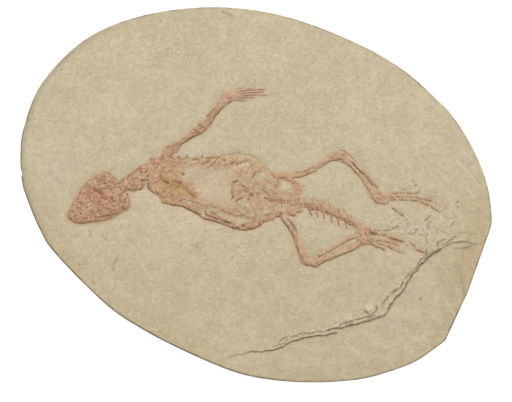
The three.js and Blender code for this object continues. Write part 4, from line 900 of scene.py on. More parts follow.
SHOULDER_OUTLINE = [
    (-43.4, 4.3), (-42.9, 2.2), (-41.4, 1.2), (-38.6, -0.6), (-37.8, -2.3), (-35.2, -3.2),
    (-31.4, -2.8), (-28.4, -0.6), (-28.8, 3), (-31, 6.4), (-30.4, 10.4), (-28.6, 13.4), (-30.4, 15.3),
    (-33, 15.8), (-36.3, 16.6), (-38.2, 15.5), (-41.8, 15), (-43.2, 13.7), (-44.4, 11.6), (-43.8, 8),
]


def inside(places, outline):
    """True for each place inside a closed outline, by counting the edges to its right."""
    x, y = places.T
    within = np.zeros(len(places), bool)
    for (x0, y0), (x1, y1) in zip(outline, [*outline[1:], outline[0]]):
        crosses = (y0 > y) != (y1 > y)
        rise = (y1 - y0) if y1 != y0 else 1e-9
        within ^= crosses & (x < x0 + (y - y0) * (x1 - x0) / rise)
    return within


def depth_inside(places, outline, far=FAR):
    """Distance to the outline, positive inside it and negative outside, far at most."""
    closed = [(x, y, 0, 0) for x, y in [*outline, outline[0]]]
    distance = gap_to_routes(places, [closed], far)
    return np.where(inside(places, outline), distance, -distance)


print("Depth inside the trunk:", depth_inside(np.array([(-19.0, 5.0)]), TRUNK_OUTLINE).round(1))

# %% [markdown]
# ### Points where they are needed
# A hexagonal grid with a little jitter has no visible rows. Three grids of different spacing share
# the plate between them by the gap to the bones. Lines get rows of points of their own, so that a
# crevice 0.6 mm wide has a clean bottom and clean sides.

# %% The points of the upper side
FINE = 0.3
MIDDLING = 0.48
COARSE = 0.92
RIM_ROWS = (0.0, 0.28, 0.6, 1.0, 1.5)
LINE_SPACING = 0.34
SAME_PLACE = 0.13


def jittered_grid(spacing, seed):
    rows = np.arange(-76, 77, spacing * math.sqrt(3) / 2)
    columns = np.arange(-95, 96, spacing)
    x, y = np.meshgrid(columns, rows)
    x[1::2] += spacing / 2
    jitter = np.random.default_rng(seed).uniform(-0.22, 0.22, (x.size, 2)) * spacing
    return np.column_stack([x.ravel(), y.ravel()]) + jitter


def rows_beside(points, offsets):
    """Rows of points beside a line, at each of the given distances to its left."""
    along = np.gradient(points, axis=0)
    along /= np.maximum(np.linalg.norm(along, axis=1), 1e-9)[:, None]
    left = np.column_stack([-along[:, 1], along[:, 0]])
    return np.vstack([points + left * offset for offset in offsets])


def line_rows(lines):
    rows = []
    for _, half_width, points in lines:
        if len(points) == 1:
            turns = np.linspace(0, 2 * np.pi, 7)[:-1]
            ring = np.column_stack([np.cos(turns), np.sin(turns)])
            rows.append(np.array(points, float) + np.vstack([[(0, 0)], ring * half_width * 0.6]))
        else:
            offsets = np.array([-1, -0.5, 0, 0.5, 1]) * half_width
            rows.append(rows_beside(smooth_route(points, LINE_SPACING), offsets))
    return np.vstack(rows)


def top_points():
    edge_rows = [rows_beside(edge, np.linspace(-0.7, 0.9, 9)) for edge in (ledge, lamina)]
    marked = (CREVICES, LEDGE_SHADES, PALE_SCRATCHES_AND_HIGHLIGHTS)
    special = np.vstack([*edge_rows, *(line_rows(lines) for lines in marked)])
    grids = []
    bands = ((FINE, -0.5, 1.1), (MIDDLING, 1.1, 3.2), (COARSE, 3.2, 99), (COARSE, -9, -0.5))
    for seed, (spacing, least, most) in enumerate(bands):
        grid = jittered_grid(spacing, seed)
        gap = gap_to_routes(grid, ALL_ROUTES)
        crumbly = depth_inside(grid, TRUNK_OUTLINE) > 0
        fine_enough = np.where(crumbly & (gap > -0.5), MIDDLING, 99)
        take = (gap > least) & (gap <= most)
        if spacing == COARSE:
            take &= fine_enough > COARSE
        if spacing == MIDDLING:
            take |= crumbly & (gap > 1.1)
        grids.append(grid[take])
    points = np.vstack([special, *grids])
    keep = inside(points, moved_inwards(rim, RIM_ROWS[-1] + 0.25).tolist())
    points = points[keep]
    _, first = np.unique(np.round(points / SAME_PLACE), axis=0, return_index=True)
    rim_rows = [moved_inwards(rim, inset) for inset in RIM_ROWS]
    return np.vstack([*rim_rows, points[np.sort(first)]])


top = top_points()
print("Points of the upper side:", len(top))

# %% [markdown]
# ### The height of the stone
# The upper bed isn't a mirror: it has broad, hardly visible waves, a fine grain and a few small pits.
# In the trunk the stone is crumbled between the bones. Crevices are cut into it, and the rim is
# rounded off. All of that adds up in one function of the place.

# %% The height of the upper side
RIM_DROP = 0.7
RIM_ROUND = 0.6
CREVICE_DEPTH = 0.15
CRUMB_HEIGHT = 0.16
HOLLOW_DEPTH = 0.2
HOLLOW_REACH = (0.3, 3.6)
TRUNK_HEIGHT = 0.3
ROUGH_RELIEF = 0.17
FLAKE = {"x": 45.0, "y": -45.0, "radius": 1.8, "height": 0.3}


def rim_fall(places):
    """How far the rounded rim falls below the bed."""
    closed = [(x, y, 0, 0) for x, y in np.vstack([rim, rim[:1]])[::2]]
    inset = gap_to_routes(places, [closed], 2.5)
    uneven = 1 + 0.35 * flat_field(places, 5.0, 2, 11)
    return RIM_DROP * np.clip(1 - inset / (RIM_ROUND * uneven), 0, 1) ** 1.7


def stone_relief(places, crumbly, rough):
    """Waves, grain and pits of the bed, in mm above or below its mean."""
    waves = 0.10 * flat_field(places, 26.0, 2, 1) + 0.05 * flat_field(places, 5.0, 3, 2)
    pits = -0.16 * smooth_step((flat_field(places, 2.1, 2, 4) - 0.5) / 0.3)
    lumps = 0.03 + np.maximum(CRUMB_HEIGHT * crumbly, ROUGH_RELIEF * rough)
    return waves + pits + lumps * flat_field(places, 1.1, 3, 5)


def flake_height(places):
    distance = np.hypot(places[:, 0] - FLAKE["x"], places[:, 1] - FLAKE["y"])
    return FLAKE["height"] * smooth_step((FLAKE["radius"] - distance) / 0.4)


trunk_depth = depth_inside(top, TRUNK_OUTLINE)
film = smooth_step((depth_inside(top, FILM_OUTLINE) + 1.2) / 2.4)
crumbly = smooth_step(trunk_depth / 1.5) * (1 - 0.8 * film)
nearest_bone, farthest = HOLLOW_REACH
hollow = HOLLOW_DEPTH * smooth_step((farthest - gap_to_routes(top, ALL_ROUTES)) / (farthest - nearest_bone))
swell = (TRUNK_HEIGHT + HOLLOW_DEPTH) * smooth_step(trunk_depth / 2.5) * (1 - 0.35 * film)
shifted = swayed(top, LEDGE_SWAY)
steps = np.maximum(step_down(shifted, ledge, LEDGE_DEPTH), step_down(shifted, lamina, LAMINA_DEPTH))
heights = (
    BED - steps - rim_fall(top) + stone_relief(top, crumbly, line_strength(top, ROUGH_GROUND)) - hollow
    + swell - CREVICE_DEPTH * ragged_strength(top, CREVICES) + flake_height(top)
)
print("Upper side from", heights.min().round(2), "to", heights.max().round(2), "mm")

# %% [markdown]
# ### The broken sides and the underside
# The sides of the plate show its bedding as thin level seams. Rows of points run down from the rim to
# the underside, each set back a little by noise that is stretched along the plate, and further at
# the seams between its beds. The chips out of the rim are made last: any point inside a small ball at
# the rim is pushed out to the ball's skin.

# %% One closed mesh for the plate
SIDE_ROWS = 22
UNDERSIDE_INSET = 0.5
SIDE_ROUGHNESS = 0.34
SEAMS = ((10.3, 0.3), (8.6, 0.42), (7.7, 0.2), (5.4, 0.4), (3.9, 0.25), (1.7, 0.38))
SEAM_WIDTH = 0.34
UNDERSIDE_SPACING = 6.0


def joined_triangles(points, outline_count):
    """Triangles over points, of which the first ones are the outline. Each faces up."""
    flat = [Vector(point) for point in points.tolist()]
    outline = [list(range(outline_count))]
    places, _, faces, *_ = delaunay_2d_cdt(flat, [], outline, 1, 1e-7, False)
    if len(places) != len(points):
        raise ValueError("two points of the outline coincide")
    corners = np.array(faces)
    a, b, c = (points[corners[:, i]] for i in range(3))
    turn = (b - a)[:, 0] * (c - a)[:, 1] - (b - a)[:, 1] * (c - a)[:, 0]
    corners[turn < 0] = corners[turn < 0][:, ::-1]
    return corners


def seam_depth(places):
    """How deep the level seams between the beds are at places on the sides, in mm."""
    wander = 0.35 * flat_field(places[:, :2], 18.0, 2, 23)
    depth = np.zeros(len(places))
    for number, (level, deepest) in enumerate(SEAMS):
        near = np.exp(-((places[:, 2] - level - wander) / SEAM_WIDTH) ** 2)
        broken = smooth_step(0.55 + 1.2 * flat_field(places[:, :2], 9.0, 2, 24 + number))
        depth = np.maximum(depth, deepest * near * broken)
    return depth


def side_row(share):
    """The rim at a share of the way down, set back by stretched noise and by the seams."""
    z = heights[:len(rim)] * (1 - share)
    places = np.column_stack([rim, z])
    beds = 0.5 + 0.5 * rough_field(places * (0.12, 0.12, 1), 1.3, 2, 21)
    lumps = 0.5 + 0.5 * rough_field(places, 2.6, 3, 22)
    near_base = UNDERSIDE_INSET * smooth_step((0.6 - z) / 0.6)
    inset = np.clip(SIDE_ROUGHNESS * (0.9 * beds + 0.6 * lumps) + seam_depth(places), 0, 1) + near_base
    return np.column_stack([moved_inwards(rim, inset), z])


def plate_geometry():
    count = len(rim)
    top_faces = joined_triangles(top, count)
    rows = [side_row(share) for share in np.linspace(0, 1, SIDE_ROWS + 1)[1:]]
    grid = jittered_grid(UNDERSIDE_SPACING, 31)
    base = np.vstack([rows[-1][:, :2], grid[inside(grid, moved_inwards(rim, 3.0).tolist())]])
    base_faces = joined_triangles(base, count)[:, ::-1]
    vertices = np.vstack([
        np.column_stack([top, heights]), *rows[:-1], np.column_stack([base, np.zeros(len(base))]),
    ])
    starts = [0, *(len(top) + i * count for i in range(SIDE_ROWS))]
    around = np.arange(count)
    following = (around + 1) % count
    quads = [
        np.column_stack([upper + around, lower + around, lower + following, upper + following])
        for upper, lower in zip(starts, starts[1:])
    ]
    faces = [*top_faces.tolist(), *np.vstack(quads).tolist(), *(base_faces + starts[-1]).tolist()]
    return vertices, faces


def chipped(vertices):
    for x, y, radius in RIM_CHIPS:
        offset = vertices - (x, y, BED)
        distance = np.linalg.norm(offset, axis=1)
        near = distance < radius * 1.02
        vertices[near] = (x, y, BED) + offset[near] / distance[near][:, None] * radius * 1.02
    return vertices


def new_mesh(name, vertices, faces):
    """A mesh from places in mm."""
    mesh = bpy.data.meshes.new(name)
    mesh.from_pydata((np.asarray(vertices) * MM).tolist(), [], faces)
    mesh.polygons.foreach_set("use_smooth", [True] * len(mesh.polygons))
    mesh.update()
    return mesh


plate_vertices, plate_faces = plate_geometry()
plate_mesh = new_mesh("limestone_slab", chipped(plate_vertices), plate_faces)
plate_mesh.calc_loop_triangles()
print("Triangles of the plate:", len(plate_mesh.loop_triangles))

# %% [markdown]
# ## Attributes for the colours
# A material can ask the mesh for a number at each point. Stone and bone both carry the crevices,
# which are painted dark with dirt and painted shade, the ledge's painted shadow together with the
# stone's small dark marks, ochre, rose, pale scratches together with painted highlights, rough and
# cool, so that a mark crosses from one to the other. The stone has others besides: the stain is the
# pink that came out of the bones, veined is the trunk's network of lines, another is painted shade
# that darkens the upper side low in the picture and near its lower rim, another is the dirt of its
# edge, sides and underside with painted shade at the lower left of the rim, and lift raises the noise
# on the underside. A crumbled bone has one more, hollow, for its pits.

# %% Numbers that the materials read
SOFT_MARKS = {
    "ochre": OCHRE_STREAKS, "rose": PINK_PATCHES, "pale": PALE_SCRATCHES_AND_HIGHLIGHTS, "rough": ROUGH_GROUND,
    "cool": COOL_GROUND,
}
HALO_WIDTH = 0.85
LOW_SHADE_REACH = 16.0
RIM_DIRT_AND_SHADE_WIDTH = 0.9
FILM_FADE = 1.2
HALO_STRENGTH = 0.66
UNDERSIDE_LIFT = 0.83
UNDERSIDE_TOP = 0.01


def set_numbers(mesh, name, values):
    attribute = mesh.attributes.get(name) or mesh.attributes.new(name, "FLOAT", "POINT")
    attribute.data.foreach_set("value", np.asarray(values, np.float32))


def places_of(mesh):
    """The places of a mesh's vertices in mm."""
    places = np.empty(len(mesh.vertices) * 3, np.float32)
    mesh.vertices.foreach_get("co", places)
    return places.reshape(-1, 3).astype(float) / MM


def mark_lines(mesh):
    """Notes every kind of line on a mesh, and returns the strength of the crevices."""
    places = places_of(mesh)[:, :2]
    for name, lines in SOFT_MARKS.items():
        set_numbers(mesh, name, line_strength(swayed(places), lines))
    set_numbers(mesh, "shade", ragged_strength(places, LEDGE_SHADES, LEDGE_SWAY))
    crevices = ragged_strength(places, CREVICES)
    set_numbers(mesh, "crevice_and_shade", crevices)
    return crevices


def bleed(places, routes):
    """How far the pink of the bones on these routes has bled into the stone."""
    return HALO_STRENGTH * np.exp(-np.maximum(gap_to_routes(places, routes), 0) / HALO_WIDTH)


def film_cover(places):
    """How far the pale film lies over these places, from 0 to 1."""
    return smooth_step((depth_inside(places, FILM_OUTLINE) + FILM_FADE) / (2 * FILM_FADE))


def flesh(places):
    """How strongly the stone is stained pink, from 0 to 1."""
    film = film_cover(places)
    halo = np.maximum(bleed(places, LARGE_ROUTES), 0.6 * bleed(places, THIN_ROUTES)) * (1 - 0.8 * film)
    trunk = smooth_step(depth_inside(places, TRUNK_OUTLINE) / 1.4)
    blotches = 0.66 - 0.4 * film + 0.5 * (1 - 0.6 * film) * flat_field(places, 3.0, 3, 42)
    crushed = (NECK_OUTLINE, SHOULDER_OUTLINE)
    masses = [smooth_step(depth_inside(places, outline) + 0.6) for outline in crushed]
    stained = np.maximum.reduce([halo, trunk * blotches, *masses, line_strength(swayed(places), STAINED)])
    return stained * (1 - line_strength(swayed(places), UNSTAINED))


def mark_stone(mesh):
    """Sets the stain, veins and painted shade of the upper side, and the dirt and painted rim shade of all
    the stone.
    """
    places = places_of(mesh)
    flat = places[:, :2]
    on_top = np.arange(len(places)) < len(top)
    patchy = 0.92 + 0.45 * rough_field(places, 1.6, 3, 41)
    set_numbers(mesh, "stain", np.clip(flesh(flat) * patchy, 0, 1) * on_top)
    veined = smooth_step(depth_inside(flat, TRUNK_OUTLINE) / 1.5) * (1 - 0.85 * film_cover(flat))
    set_numbers(mesh, "veined", veined * (1 - line_strength(flat, UNSTAINED)) * on_top)
    closed = [(x, y, 0, 0) for x, y in np.vstack([rim, rim[:1]])[::3]]
    inset = gap_to_routes(flat, [closed], LOW_SHADE_REACH)
    # Painted shade: the upper side darkens low in the picture and most near its lower rim, where the surface
    # turns away from the light from the top.
    shade_near_rim = 0.75 * smooth_step((22 - flat[:, 1]) / 40)
    shade_near_rim *= smooth_step((LOW_SHADE_REACH - inset) / LOW_SHADE_REACH * 1.2)
    lower_half_shade = 0.42 * smooth_step((-6 - flat[:, 1]) / 30)
    uneven = 1 + 0.5 * flat_field(flat, 14.0, 2, 43)
    set_numbers(mesh, "low_shade", np.clip(np.maximum(shade_near_rim, lower_half_shade) * uneven, 0, 1) * on_top)
    # Dirt and painted shade along the rim: the band is darkest at the lower left, where the rim turns away
    # from the light, and noise makes it uneven.
    lower_left = smooth_step((-0.75 * flat[:, 0] - 0.66 * flat[:, 1] - 35) / 25)
    dirt_and_shade_share = np.clip(0.5 + 0.4 * lower_left + 0.5 * flat_field(flat, 4.0, 2, 44), 0, 1)
    dirt_and_shade = smooth_step((RIM_DIRT_AND_SHADE_WIDTH - inset) / 0.5) * dirt_and_shade_share
    upper_left = smooth_step((-0.9 * flat[:, 0] + 0.3 * flat[:, 1] - 60) / 25)
    dirt_and_shade = np.maximum(dirt_and_shade, 0.25 * upper_left * smooth_step((2.2 - inset) / 0.8))
    lower = places[len(top):]
    beds = rough_field(lower * (0.12, 0.12, 1), 1.3, 3, 45)
    side = np.clip(0.34 + 0.3 * beds + seam_depth(lower), 0, 0.85)
    underside = 0.34 + 0.3 * flat_field(lower[:, :2], 32.0, 2, 46)
    dirt_and_shade[len(top):] = np.where(lower[:, 2] < UNDERSIDE_TOP, underside, side)
    set_numbers(mesh, "rim_dirt_and_shade", dirt_and_shade)
    set_numbers(mesh, "lift", UNDERSIDE_LIFT * MM * ((places[:, 2] < UNDERSIDE_TOP) & ~on_top))


def keep_on_top(mesh, name):
    """Takes a mark off the sides and the underside of the plate."""
    values = np.empty(len(mesh.vertices), np.float32)
    mesh.attributes[name].data.foreach_get("value", values)
    values[len(top):] = 0
    set_numbers(mesh, name, values)


mark_lines(plate_mesh)
for mark in (*SOFT_MARKS, "shade", "crevice_and_shade"):
    keep_on_top(plate_mesh, mark)
mark_stone(plate_mesh)
print("Attributes of the plate:", [a.name for a in plate_mesh.attributes if not a.is_internal])

# %% [markdown]
# ## Materials from nodes
# Every material here is built from noise on Object coordinates and from the numbers above, so it
# needs no picture and has no seams. A few helpers keep the node trees short: one plugs a value or
# another node's output into a socket, and the others make the nodes that are used again and again.

# %% Helpers for node trees
def linear(red, green, blue):
    """A colour as seen on a screen, 0 to 255, as the linear colour that a shader takes."""
    share = np.array([red, green, blue]) / 255
    return (*np.where(share > 0.04045, ((share + 0.055) / 1.055) ** 2.4, share / 12.92).tolist(), 1.0)


def plug(tree, socket, value):
    if isinstance(value, bpy.types.NodeSocket):
        tree.links.new(value, socket)
    else:
        socket.default_value = value


def mixed(tree, share, first, second, blend="MIX"):
    """A colour between the first, at share 0, and the second, at share 1."""
    node = tree.nodes.new("ShaderNodeMix")
    node.data_type = "RGBA"
    node.blend_type = blend
    plug(tree, node.inputs[0], share)
    plug(tree, node.inputs[6], first)
    plug(tree, node.inputs[7], second)
    return node.outputs[2]


def sum_of(tree, first, second, operation="MULTIPLY"):
    node = tree.nodes.new("ShaderNodeMath")
    node.operation = operation
    plug(tree, node.inputs[0], first)
    plug(tree, node.inputs[1], second)
    return node.outputs[0]


def number_of(tree, name):
    node = tree.nodes.new("ShaderNodeAttribute")
    node.attribute_name = name
    return node.outputs["Fac"]


def stretched(tree, value, low, high, least=0.0, most=1.0):
    """The value's stretch from low to high, spread over least to most and held there."""
    node = tree.nodes.new("ShaderNodeMapRange")
    node.interpolation_type = "SMOOTHSTEP"
    plug(tree, node.inputs["Value"], value)
    node.inputs["From Min"].default_value = low
    node.inputs["From Max"].default_value = high
    node.inputs["To Min"].default_value = least
    node.inputs["To Max"].default_value = most
    return node.outputs["Result"]


def lifted_places(tree):
    """Object coordinates, raised by the attribute lift, which only the plate's underside has."""
    coordinates = tree.nodes.new("ShaderNodeTexCoord")
    lift = tree.nodes.new("ShaderNodeCombineXYZ")
    plug(tree, lift.inputs["Z"], number_of(tree, "lift"))
    total = tree.nodes.new("ShaderNodeVectorMath")
    tree.links.new(coordinates.outputs["Object"], total.inputs[0])
    tree.links.new(lift.outputs[0], total.inputs[1])
    return total.outputs[0]


def grain(tree, size, detail=3.0, shift=(0, 0, 0), squeeze=(1, 1, 1), turn=0.0):
    """Noise from 0 to 1 with lumps of the given size in mm, on Object coordinates."""
    mapping = tree.nodes.new("ShaderNodeMapping")
    mapping.inputs["Location"].default_value = shift
    mapping.inputs["Rotation"].default_value = (0, 0, turn)
    mapping.inputs["Scale"].default_value = squeeze
    tree.links.new(lifted_places(tree), mapping.inputs["Vector"])
    node = tree.nodes.new("ShaderNodeTexNoise")
    node.inputs["Scale"].default_value = 1 / (size * MM)
    node.inputs["Detail"].default_value = detail
    tree.links.new(mapping.outputs["Vector"], node.inputs["Vector"])
    return node.outputs["Fac"]


def veins(tree, size, width, shift=(0, 0, 0)):
    """Thin crooked lines where noise passes its middle value: 1 on a line and 0 between them."""
    from_middle = sum_of(tree, sum_of(tree, grain(tree, size, 3.0, shift), 0.5, "SUBTRACT"), 0.0, "ABSOLUTE")
    return stretched(tree, from_middle, 0.0, width, 1.0, 0.0)


def bumped(tree, height, depth):
    """The surface's normal with bumps of the given depth in mm."""
    node = tree.nodes.new("ShaderNodeBump")
    node.inputs["Strength"].default_value = 1.0
    node.inputs["Distance"].default_value = depth * MM
    plug(tree, node.inputs["Height"], height)
    return node.outputs["Normal"]


def blank_material(name, roughness):
    material = bpy.data.materials.new(name)
    material.use_nodes = True
    shader = material.node_tree.nodes["Principled BSDF"]
    shader.inputs["Roughness"].default_value = roughness
    return material, material.node_tree, shader


print("A mid grey on the screen is", round(linear(128, 128, 128)[0], 3), "in linear light")

# %% [markdown]
# ## Limestone
# Fine limestone is a matt, warm grey. Looked at closely it is never one colour: broad clouds run from
# a greenish grey near the fossil to a straw yellow at the broken side, and small dark specks are strewn
# over it. Each crevice is painted dark with dirt and painted shade, the ledge has a painted shadow
# with a painted highlight beside it, the upper side is darkened by painted shade low in the picture,
# and the rim has dirt and painted shade. The colours are laid over each other like thin paint.

# %% The colours of the stone
STONE = linear(202, 186, 157)
STONE_COOL = linear(197, 183, 152)
# Painted shade: the stone's colour low in the picture, where its surface turns from the light.
STONE_LOW_SHADE = linear(188, 170, 136)
STONE_GREY = linear(193, 180, 153)
STONE_ROSE = linear(194, 155, 119)
STONE_OCHRE = linear(172, 130, 76)
STONE_PALE = linear(222, 211, 186)
STONE_SPECK = linear(158, 143, 112)
# Dark paints: dirt with painted shade for the crevices, painted shadow for the step of the ledge (also used
# for the stone's small dark marks), and dirt with painted shade for the rim.
CREVICE_DIRT_AND_SHADE = linear(126, 95, 58)
LEDGE_SHADOW_AND_MARK = linear(112, 99, 68)
RIM_DIRT_AND_SHADE = linear(106, 94, 72)


def paint_limestone():
    material, tree, shader = blank_material("fine_limestone", 0.88)
    colour = mixed(tree, stretched(tree, grain(tree, 26.0, 2.0), 0.38, 0.62), STONE, STONE_COOL)
    colour = mixed(tree, number_of(tree, "low_shade"), colour, STONE_LOW_SHADE)
    colour = mixed(tree, sum_of(tree, number_of(tree, "cool"), 0.7), colour, STONE_GREY)
    for size, shift, spread in ((5.0, 0.3, 0.045), (2.4, 0.9, 0.055), (1.2, 0.5, 0.06), (0.5, 0.7, 0.055)):
        clouds = stretched(tree, grain(tree, size, 3.0, (shift, 0, 0)), 0.3, 0.7, 1 - spread, 1 + spread)
        colour = mixed(tree, 1.0, colour, grey_of(tree, clouds), "MULTIPLY")
    rough = number_of(tree, "rough")
    specks = stretched(tree, grain(tree, 0.9, 2.0, (0, 0.2, 0)), 0.6, 0.74, 0.0, 0.55)
    colour = mixed(tree, specks, colour, STONE_SPECK)
    for size, shift, paint in ((0.8, 0.6, STONE_SPECK), (1.0, 0.1, STONE_PALE)):
        crumbs = stretched(tree, grain(tree, size, 3.0, (shift, 0.4, 0)), 0.52, 0.68, 0.0, 0.8)
        colour = mixed(tree, sum_of(tree, crumbs, rough), colour, paint)
    for turn, share in ((0.5, 0.35), (-0.7, 0.3)):
        fibres = grain(tree, 0.45, 2.0, (0, turn, 0), (0.22, 1, 1), turn)
        streaks = stretched(tree, fibres, 0.62, 0.72, 0.0, share)
        colour = mixed(tree, streaks, colour, STONE_PALE)
    colour = mixed(tree, number_of(tree, "stain"), colour, STONE_ROSE)
    cracks = sum_of(tree, veins(tree, 2.2, 0.05), number_of(tree, "veined"))
    colour = mixed(tree, sum_of(tree, cracks, 0.42), colour, CREVICE_DIRT_AND_SHADE)
    mottles = stretched(tree, grain(tree, 1.4, 3.0, (0.6, 0, 0)), 0.36, 0.6, 0.5, 1.0)
    # Laid on last: ochre, pale scratches with painted highlights, the ledge's painted shadow with the
    # stone's dark marks, the crevices' dirt and painted shade, and the rim's dirt and painted shade.
    for name, share, paint in (
        ("ochre", mottles, STONE_OCHRE), ("pale", 0.7, STONE_PALE), ("shade", 1.0, LEDGE_SHADOW_AND_MARK),
        ("crevice_and_shade", 0.8, CREVICE_DIRT_AND_SHADE), ("rim_dirt_and_shade", 0.9, RIM_DIRT_AND_SHADE),
    ):
        colour = mixed(tree, sum_of(tree, number_of(tree, name), share), colour, paint)
    plug(tree, shader.inputs["Base Color"], colour)
    fine = grain(tree, 0.5, 4.0)
    plug(tree, shader.inputs["Normal"], bumped(tree, fine, 0.05))
    return material


def grey_of(tree, value):
    node = tree.nodes.new("ShaderNodeCombineColor")
    for channel in node.inputs:
        plug(tree, channel, value)
    return node.outputs[0]


limestone = paint_limestone()
print("Nodes in the limestone:", len(limestone.node_tree.nodes))

# %% [markdown]
# ## Bringing a finished mesh into the frame
# Each finished mesh becomes one object at the origin. It rides on the body root, takes the material
# that it is given, and stands for the CAD node whose place it fills.

# %% Place a finished mesh
def place(mesh, name, node, slot, material):
    mesh.materials.clear()
    mesh.materials.append(material)
    piece = bpy.data.objects.new(name, mesh)
    bpy.context.scene.collection.objects.link(piece)
    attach(piece, "root")
    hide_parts(node)
    return piece


plate = place(plate_mesh, "limestone_slab", "limestone_plate", "limestone", limestone)
print("Placed", plate.name)

# %% [markdown]
# ## Fossil bone
# The bones are a flesh-coloured tan, paler and pinker on the worn tops and dark reddish brown where
# the surface broke away. A number called hollow, which each bone mesh carries, says how deep a point
# lies in its own roughness. The hollows are painted reddish brown, partly as the colour of broken bone
# and partly as painted shade, so the colour follows the relief.

# %% The colours of the bone
BONE = linear(193, 168, 131)
BONE_WARM = linear(184, 152, 115)
BONE_RED = linear(182, 147, 114)
BONE_TAN = linear(196, 162, 120)
BONE_LIGHT = linear(200, 164, 134)
BONE_TOP = linear(205, 171, 141)
BONE_RUST_AND_SHADE = linear(150, 104, 76)
BONE_DARK = linear(124, 88, 58)
BONE_PIT = linear(138, 78, 56)
BONE_OCHRE = linear(168, 124, 72)
BONE_ROSE = linear(200, 142, 118)
BONE_PALE = linear(226, 204, 178)
BONE_GLINT = linear(224, 188, 158)


def paint_bone(name, base, rust_share, vein_share=0.0, flush_share=0.15, pit_paint=None):
    material, tree, shader = blank_material(name, 0.8)
    colour = mixed(tree, stretched(tree, grain(tree, 0.9, 3.0), 0.4, 0.68), base, BONE_TOP)
    flush = stretched(tree, grain(tree, 5.5, 2.0, (0, 0.9, 0)), 0.46, 0.62, 0.0, flush_share)
    colour = mixed(tree, flush, colour, BONE_ROSE)
    for size, share in ((0.8, 0.6 * rust_share), (2.6, rust_share)):
        rust = stretched(tree, grain(tree, size, 4.0, (0.1, 0.4, 0)), 0.48, 0.7, 0.0, share)
        colour = mixed(tree, rust, colour, BONE_RUST_AND_SHADE)
    glints = stretched(tree, grain(tree, 0.8, 2.0, (0.7, 0, 0)), 0.58, 0.67, 0.0, 2 * vein_share)
    colour = mixed(tree, glints, colour, BONE_GLINT)
    cracks = veins(tree, 2.4, 0.05, (0.3, 0, 0))
    colour = mixed(tree, sum_of(tree, cracks, vein_share), colour, BONE_RUST_AND_SHADE)
    # Painted shade and the reddish brown of broken bone in the low points of the roughness.
    hollow = stretched(tree, number_of(tree, "hollow"), 0.5, 0.95, 0.0, 0.6)
    colour = mixed(tree, hollow, colour, BONE_RUST_AND_SHADE)
    mottles = stretched(tree, grain(tree, 1.4, 3.0, (0.6, 0, 0)), 0.36, 0.6, 0.5, 1.0)
    colour = mixed(tree, sum_of(tree, number_of(tree, "ochre"), mottles), colour, BONE_OCHRE)
    colour = mixed(tree, sum_of(tree, number_of(tree, "rose"), 0.6), colour, BONE_ROSE)
    colour = mixed(tree, sum_of(tree, number_of(tree, "pale"), 0.8), colour, BONE_PALE)
    # The crevices are painted dark: painted shade along the lower side of each bone, with the dirt, seams
    # and pits between bone and stone.
    colour = mixed(tree, sum_of(tree, number_of(tree, "crevice_and_shade"), 0.76), colour, pit_paint or BONE_DARK)
    plug(tree, shader.inputs["Base Color"], colour)
    plug(tree, shader.inputs["Normal"], bumped(tree, grain(tree, 0.35, 4.0), 0.06))
    return material


fossil_bone = paint_bone("fossil_bone", BONE, 0.3)
warm_bone = paint_bone("warm_bone", BONE_WARM, 0.35, 0.2)
skull_bone = paint_bone("skull_bone", BONE_RED, 0.5, 0.3, 0.22, BONE_PIT)
rubble_bone = paint_bone("rubble_bone", BONE_TAN, 0.6, 0.45, 0.3)
pale_bone = paint_bone("pale_bone", BONE_LIGHT, 0.3)
print("Nodes in the bone:", len(fossil_bone.node_tree.nodes))

# %% [markdown]
# ## Finishing a bone
# A rough skin is made in four steps. Closed shells that overlap are fused by the Remesh modifier in
# voxel mode, which leaves one skin of small even faces. Noise along the normals crumbles it. Crevices
# are cut in. Then nothing may stand higher than the solid it replaces, so the heights are capped.

# %% Fuse, crumble and place
SINK = 0.45
VOXEL = 0.2


def fused(shells):
    """One skin round closed shells that overlap, in mm."""
    mesh = bpy.data.meshes.new("shells")
    vertices = np.vstack([places for places, _ in shells])
    starts = np.cumsum([0, *(len(places) for places, _ in shells[:-1])])
    faces = [
        tuple(int(corner + start) for corner in face)
        for start, (_, shell_faces) in zip(starts, shells) for face in shell_faces
    ]
    mesh.from_pydata(vertices.tolist(), [], faces)
    holder = bpy.data.objects.new("shells", mesh)
    bpy.context.scene.collection.objects.link(holder)
    skin = holder.modifiers.new("one_skin", "REMESH")
    skin.mode = "VOXEL"
    skin.voxel_size = VOXEL
    evaluated = holder.evaluated_get(bpy.context.evaluated_depsgraph_get())
    result = bpy.data.meshes.new_from_object(evaluated)
    bpy.data.objects.remove(holder)
    result.transform([[MM, 0, 0, 0], [0, MM, 0, 0], [0, 0, MM, 0], [0, 0, 0, 1]])
    return result


def crumbled(mesh, amount, size, seed):
    """Roughens a skin along its normals and notes how hollow each point became."""
    places = places_of(mesh)
    normals = np.array([vertex.normal[:] for vertex in mesh.vertices])
    bumps = rough_field(places, size, 3, seed)
    places += normals * (amount * bumps)[:, None]
    set_numbers(mesh, "hollow", np.clip(0.5 - 0.6 * bumps, 0, 1))
    mesh.vertices.foreach_set("co", (places * MM).ravel())
    mesh.update()


def finish_bone(mesh, name, node, material, groove=0.15):
    """Cuts the crevices into a bone, keeps it under its solid's top, colours it and places it."""
    crevices = mark_lines(mesh)
    places = places_of(mesh)
    places[:, 2] -= groove * crevices
    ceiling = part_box(node)[1].z / MM
    soft = np.minimum(places[:, 2], ceiling - 0.02)
    places[:, 2] = np.maximum(soft, BED - SINK)
    mesh.vertices.foreach_set("co", (places * MM).ravel())
    mesh.polygons.foreach_set("use_smooth", [True] * len(mesh.polygons))
    mesh.update()
    return place(mesh, name, node, "fossil_bone", material)


print("Bones reach", SINK, "mm into the stone")

